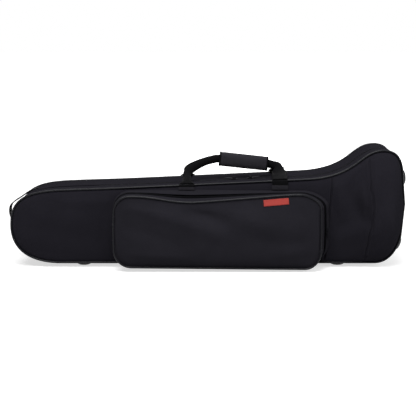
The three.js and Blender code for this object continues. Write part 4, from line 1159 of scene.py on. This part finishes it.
for half, word in (("lid", "front"), ("base", "rear")):
    for place in ("left", "right"):
        roundedCopy(f"{word}_anchor_{place}", half, "webbing", rounded["anchor"])
for node in ("slider_left", "pull_left", "slider_right", "pull_right", "pocket_slider", "pocket_pull"):
    roundedCopy(node, node, "steel", rounded["slider" if "slider" in node else "pull"])
print("handle and sliders made")

# End handle: a loop of webbing on the slide end
loopHandle = {"across": 36, "width": 38, "thick": 3, "bow": 21, "tab": 16, "top": 14, "root": 15, "steps": 60}


def nearest(path, height):
    return min((p for p in path if p.x < body["shoulder"][0]), key=lambda p: abs(p.y - height))


def endHandle():
    low, high = inCase("end_handle")
    bow, tab, thick = loopHandle["bow"], loopHandle["tab"], loopHandle["thick"]
    top, root = nearest(bodyTop, high.z - loopHandle["top"]), nearest(bodyBottom, low.z + loopHandle["root"])
    middle = (top.y + root.y) / 2
    path = [
        (top.x + tab * 1.5, top.y + tab * 0.75), (top.x + thick / 2, top.y + thick),
        (top.x - bow * 0.9, top.y - bow * 0.5), (thick / 2 - bow, middle + bow * 0.5),
        (thick - bow, middle - bow), (root.x - thick / 2, root.y + thick / 2),
        (root.x + tab * 0.8, root.y - tab),
    ]
    stations = [(Vector((x, loopHandle["across"], z)), Vector((0, 1, 0)), loopHandle["width"]) for x, z in path]
    sections = ribbonSections(stations, thick - webbing["slim"], loopHandle["steps"], loopHandle["width"])
    sweptPiece(sections, "endHandle", "base", "webbing", ["end_handle"])


endHandle()

# Inside: foam saddles and walls with rounded edges, and the straps over the slide
for node, half, finish in (
    ("bell_cradle", "base", "plush"), ("neck_cradle", "base", "plush"), ("bin_divider", "base", "plush"),
    ("mouthpiece_block", "base", "foam"), ("slide_cradle_outer", "lid", "plush"),
    ("slide_cradle_inner", "lid", "plush"),
):
    softCopy(node, half, finish)
for node in ("slide_strap_outer", "slide_strap_inner"):
    bm = cadCopy(node)
    bevelSharp(bm, rounded["strap"], rounded["strapAngle"], clamped=False)
    makePiece(bm, camel(node), "lid", "webbing", [node])
print("inside made")

# A plain woven patch, laid on the pocket's panel
patch = {"width": 60, "height": 15, "tilt": 4.8, "thick": 0.9, "raised": 2.0, "hem": 1.4, "lift": 0.15,
         "stitchLift": 0.1, "columns": 40, "rows": 10}
farAway = 250


def onSkin(skin, x, z, side, proud=0.0):
    # The place and direction of a cover's cloth, seen from one side along Y
    hit, normal = skins[skin].ray_cast(Vector((x, side * farAway, z)), Vector((0, -side, 0)))[:2]
    if normal.y * side < 0:
        normal = -normal
    return hit + normal * proud, normal


def labelPatch():
    middle = middleOf("label_patch")
    bm = bmesh.new()
    bmesh.ops.create_grid(bm, x_segments=patch["columns"], y_segments=patch["rows"], size=0.5)
    tilt = math.radians(patch["tilt"])
    for v in bm.verts:
        a, b = v.co.x * patch["width"], v.co.y * patch["height"]
        x = middle.x + a * math.cos(tilt) - b * math.sin(tilt)
        z = middle.z + patch["raised"] + a * math.sin(tilt) + b * math.cos(tilt)
        v.co = (x, onSkin("panel", x, z, -1)[0].y - patch["lift"], z)
    faceTo(bm, -1)
    thicken(makePiece(bm, "labelPatch", "pocket_front", "ribbon", ["label_patch"]), patch["thick"], 1)


labelPatch()

# Stitching: short rounded threads along the sewn lines
stitch = {"pitch": 3.5, "length": 2.5, "thick": 0.34, "proud": 0.12, "seam": 4.4, "zip": 2.4}


def stitchRow(bm, points, outs, closed=False):
    if closed:
        points, outs = points + points[:1], outs + outs[:1]
    size = Matrix.Diagonal((stitch["length"] / 2, stitch["thick"], stitch["thick"], 1))
    for k, share, spot, along in stepsAlong(points, stitch["pitch"], stitch["pitch"] / 2):
        out = outs[k].lerp(outs[k + 1], share)
        out = (out - along * out.dot(along)).normalized()
        place = Matrix.Translation(spot + out * stitch["proud"]) @ turnTo(along, out.cross(along), out)
        bmesh.ops.create_icosphere(bm, subdivisions=1, radius=1, matrix=place @ size)


def stitchLoop(half, loop, y, run):
    outs = outward(loop)
    stitchRow(sewn[half], [upright(loop[k], y) for k in run], [upright(outs[k]) for k in run])


def boxPath(x, z, wide, tall, turn=0.0):
    # The corners of a box of stitches and its two diagonals
    a, b = Vector((math.cos(turn), math.sin(turn))) * wide / 2, Vector((-math.sin(turn), math.cos(turn))) * tall / 2
    corners = [Vector((x, z)) + s * a + t * b for s, t in ((-1, -1), (1, -1), (1, 1), (-1, 1))]
    return corners, [(corners[0], corners[2]), (corners[1], corners[3])]


sewn = {name: bmesh.new() for name in ("base", "lid", "pocket_front")}
for half, values in halves.items():
    side = values["side"]
    for seam in (seams["flare"], seams["bell"]):
        for off in (-stitch["seam"], stitch["seam"]):
            places = []
            for share in [k / 100 for k in range(3, 98)]:
                x = lerp(seam["low"], seam["high"], share)
                z = share * heightAt(bodyTop, lerp(seam["low"], seam["high"], 1))
                places.append(onSkin(half, x + strayAt(seam, share) + off, z, side))
            stitchRow(sewn[half], [p for p, _ in places], [n for _, n in places])
    y = case["zipPlane"] + side * (zipEdge["open"] + stitch["zip"])
    stitchLoop(half, bodyLoop, y, openRun(bodyLoop, "hinge_gusset"))
for half, side in (("lid", 1), ("pocket_front", -1)):
    y = pocket["split"] + side * (zipEdge["open"] + stitch["zip"])
    stitchLoop(half, loopOf(pocketAt(y)), y, openRun(splitLoop, "pocket_hinge"))

# Hems: the folded end of the webbing over each anchor, drawn in the grip's lighter padding colour, boxed in with
# stitches
hem = {"thick": 1.5, "rim": 0.5, "wider": 0.6, "tall": {"left": 6.5, "right": 11}, "inside": 3.0, "down": 0.3,
       "crossed": 8}
for half, word, side in (("lid", "front", -1), ("base", "rear", 1)):
    for place, tall in hem["tall"].items():
        low, high = inCase(f"{word}_anchor_{place}")
        face = low.y if side < 0 else high.y
        size = Vector((high.x - low.x + hem["wider"], hem["thick"], tall))
        middle = Vector(((low.x + high.x) / 2, face, low.z + tall / 2 - hem["down"]))
        bm = bmesh.new()
        bmesh.ops.create_cube(bm, size=1, matrix=Matrix.Translation(middle) @ Matrix.Diagonal((*size, 1)))
        bmesh.ops.bevel(bm, geom=bm.edges[:], offset=hem["rim"], segments=3, profile=0.5, affect="EDGES", material=-1)
        # The hem takes the padding colour, several times lighter than the webbing of the anchor under it
        makePiece(bm, f"{word}AnchorHem{place.title()}", half, "padding")
        out, front = Vector((0, side, 0)), face + side * hem["thick"] / 2
        corners, crossings = boxPath(middle.x, middle.z, size.x - hem["inside"] * 2, tall - hem["inside"])
        for line in [corners + corners[:1]] + (crossings if tall > hem["crossed"] else []):
            stitchRow(sewn[half], [upright(p, front) for p in line], [out] * len(line))
for name, bm in sewn.items():
    makePiece(bm, name.replace("_f", "F") + "Stitches", name, "thread")

# A hem of stitches round the patch, in its own colour
middle = middleOf("label_patch")
corners = boxPath(middle.x, middle.z + patch["raised"], patch["width"] - 2 * patch["hem"],
                  patch["height"] - 2 * patch["hem"], math.radians(patch["tilt"]))[0]
around = [a.lerp(b, k / 8) for a, b in zip(corners, corners[1:] + corners[:1]) for k in range(8)]
places = [onSkin("panel", p.x, p.y, -1, patch["thick"] + patch["stitchLift"]) for p in around]
bm = bmesh.new()
stitchRow(bm, [p for p, _ in places], [n for _, n in places], closed=True)
makePiece(bm, "labelStitches", "pocket_front", "ribbon")
print("stitches made")


# Stage: pale floor, white surroundings, soft lamps
def whiteSeen(nodes, links):
    # 1 for what the camera, a gloss or a glass sees, 0 for the light on the object
    path = addNode(nodes, "LightPath")
    total = path.outputs["Is Camera Ray"]
    for kind in ("Is Glossy Ray", "Is Transmission Ray"):
        larger = addNode(nodes, "Math", operation="MAXIMUM")
        links.new(total, larger.inputs[0])
        links.new(path.outputs[kind], larger.inputs[1])
        total = larger.outputs[0]
    return total


stage = {"floor": 0.60, "near": 0.64, "far": 1.0, "spread": (0.8, 2.4), "world": 0.17, "size": 30}
floorPaint = bpy.data.materials.new("floorPaint")
floorPaint.use_nodes = True
nodes, links = floorPaint.node_tree.nodes, floorPaint.node_tree.links
paint = nodes["Principled BSDF"]
paint.inputs["Base Color"].default_value = (*[stage["floor"]] * 3, 1)
paint.inputs["Roughness"].default_value = 1
paint.inputs["Specular IOR Level"].default_value = 0
paint.inputs["Emission Color"].default_value = (1, 1, 1, 1)
# The floor shows white, a little less so near the case, where its shadow falls
away = addNode(nodes, "VectorMath", operation="LENGTH")
links.new(addNode(nodes, "TexCoord").outputs["Object"], away.inputs[0])
start, stop = stage["spread"]
white = addNode(nodes, "MapRange", {"From Min": start, "From Max": stop, "To Min": stage["near"],
                                    "To Max": stage["far"]})
links.new(away.outputs["Value"], white.inputs["Value"])
shine = addNode(nodes, "Math", operation="MULTIPLY")
links.new(whiteSeen(nodes, links), shine.inputs[0])
links.new(white.outputs["Result"], shine.inputs[1])
links.new(shine.outputs[0], paint.inputs["Emission Strength"])
floorMesh = bmesh.new()
bmesh.ops.create_grid(floorMesh, x_segments=1, y_segments=1, size=stage["size"])
floor = objectOf(floorMesh, "floor", floorPaint)

world = bpy.data.worlds.new("studio")
world.use_nodes = True
bpy.context.scene.world = world
nodes, links = world.node_tree.nodes, world.node_tree.links
nodes["Background"].inputs["Color"].default_value = (1, 1, 1, 1)
level = addNode(nodes, "MapRange", {"To Min": stage["world"], "To Max": 1.0})
links.new(whiteSeen(nodes, links), level.inputs["Value"])
links.new(level.outputs["Result"], nodes["Background"].inputs["Strength"])

lamps = {
    "top": {"place": (0.05, -0.25, 2.3), "aim": (0, 0, 0.1), "size": 0.7, "power": 13},
    "key": {"place": (-0.4, -1.7, 2.6), "aim": (0, 0, 0.1), "size": 1.9, "power": 103},
    "side": {"place": (1.9, -0.9, 1.1), "aim": (0.3, 0, 0.15), "size": 1.2, "power": 14},
    "back": {"place": (0.5, 2.4, 0.85), "aim": (0, 0, 0.12), "size": 1.6, "power": 34, "gloss": False},
}
for name, lamp in lamps.items():
    light = bpy.data.lights.new(name, "AREA")
    light.size = lamp["size"]
    light.energy = lamp["power"]
    holder = bpy.data.objects.new(name, light)
    bpy.context.scene.collection.objects.link(holder)
    holder.location = lamp["place"]
    holder.visible_glossy = lamp.get("gloss", True)  # a fill lamp leaves no glints
    holder.rotation_euler = (Vector(lamp["aim"]) - Vector(lamp["place"])).to_track_quat("-Z", "Y").to_euler()
print("stage made")
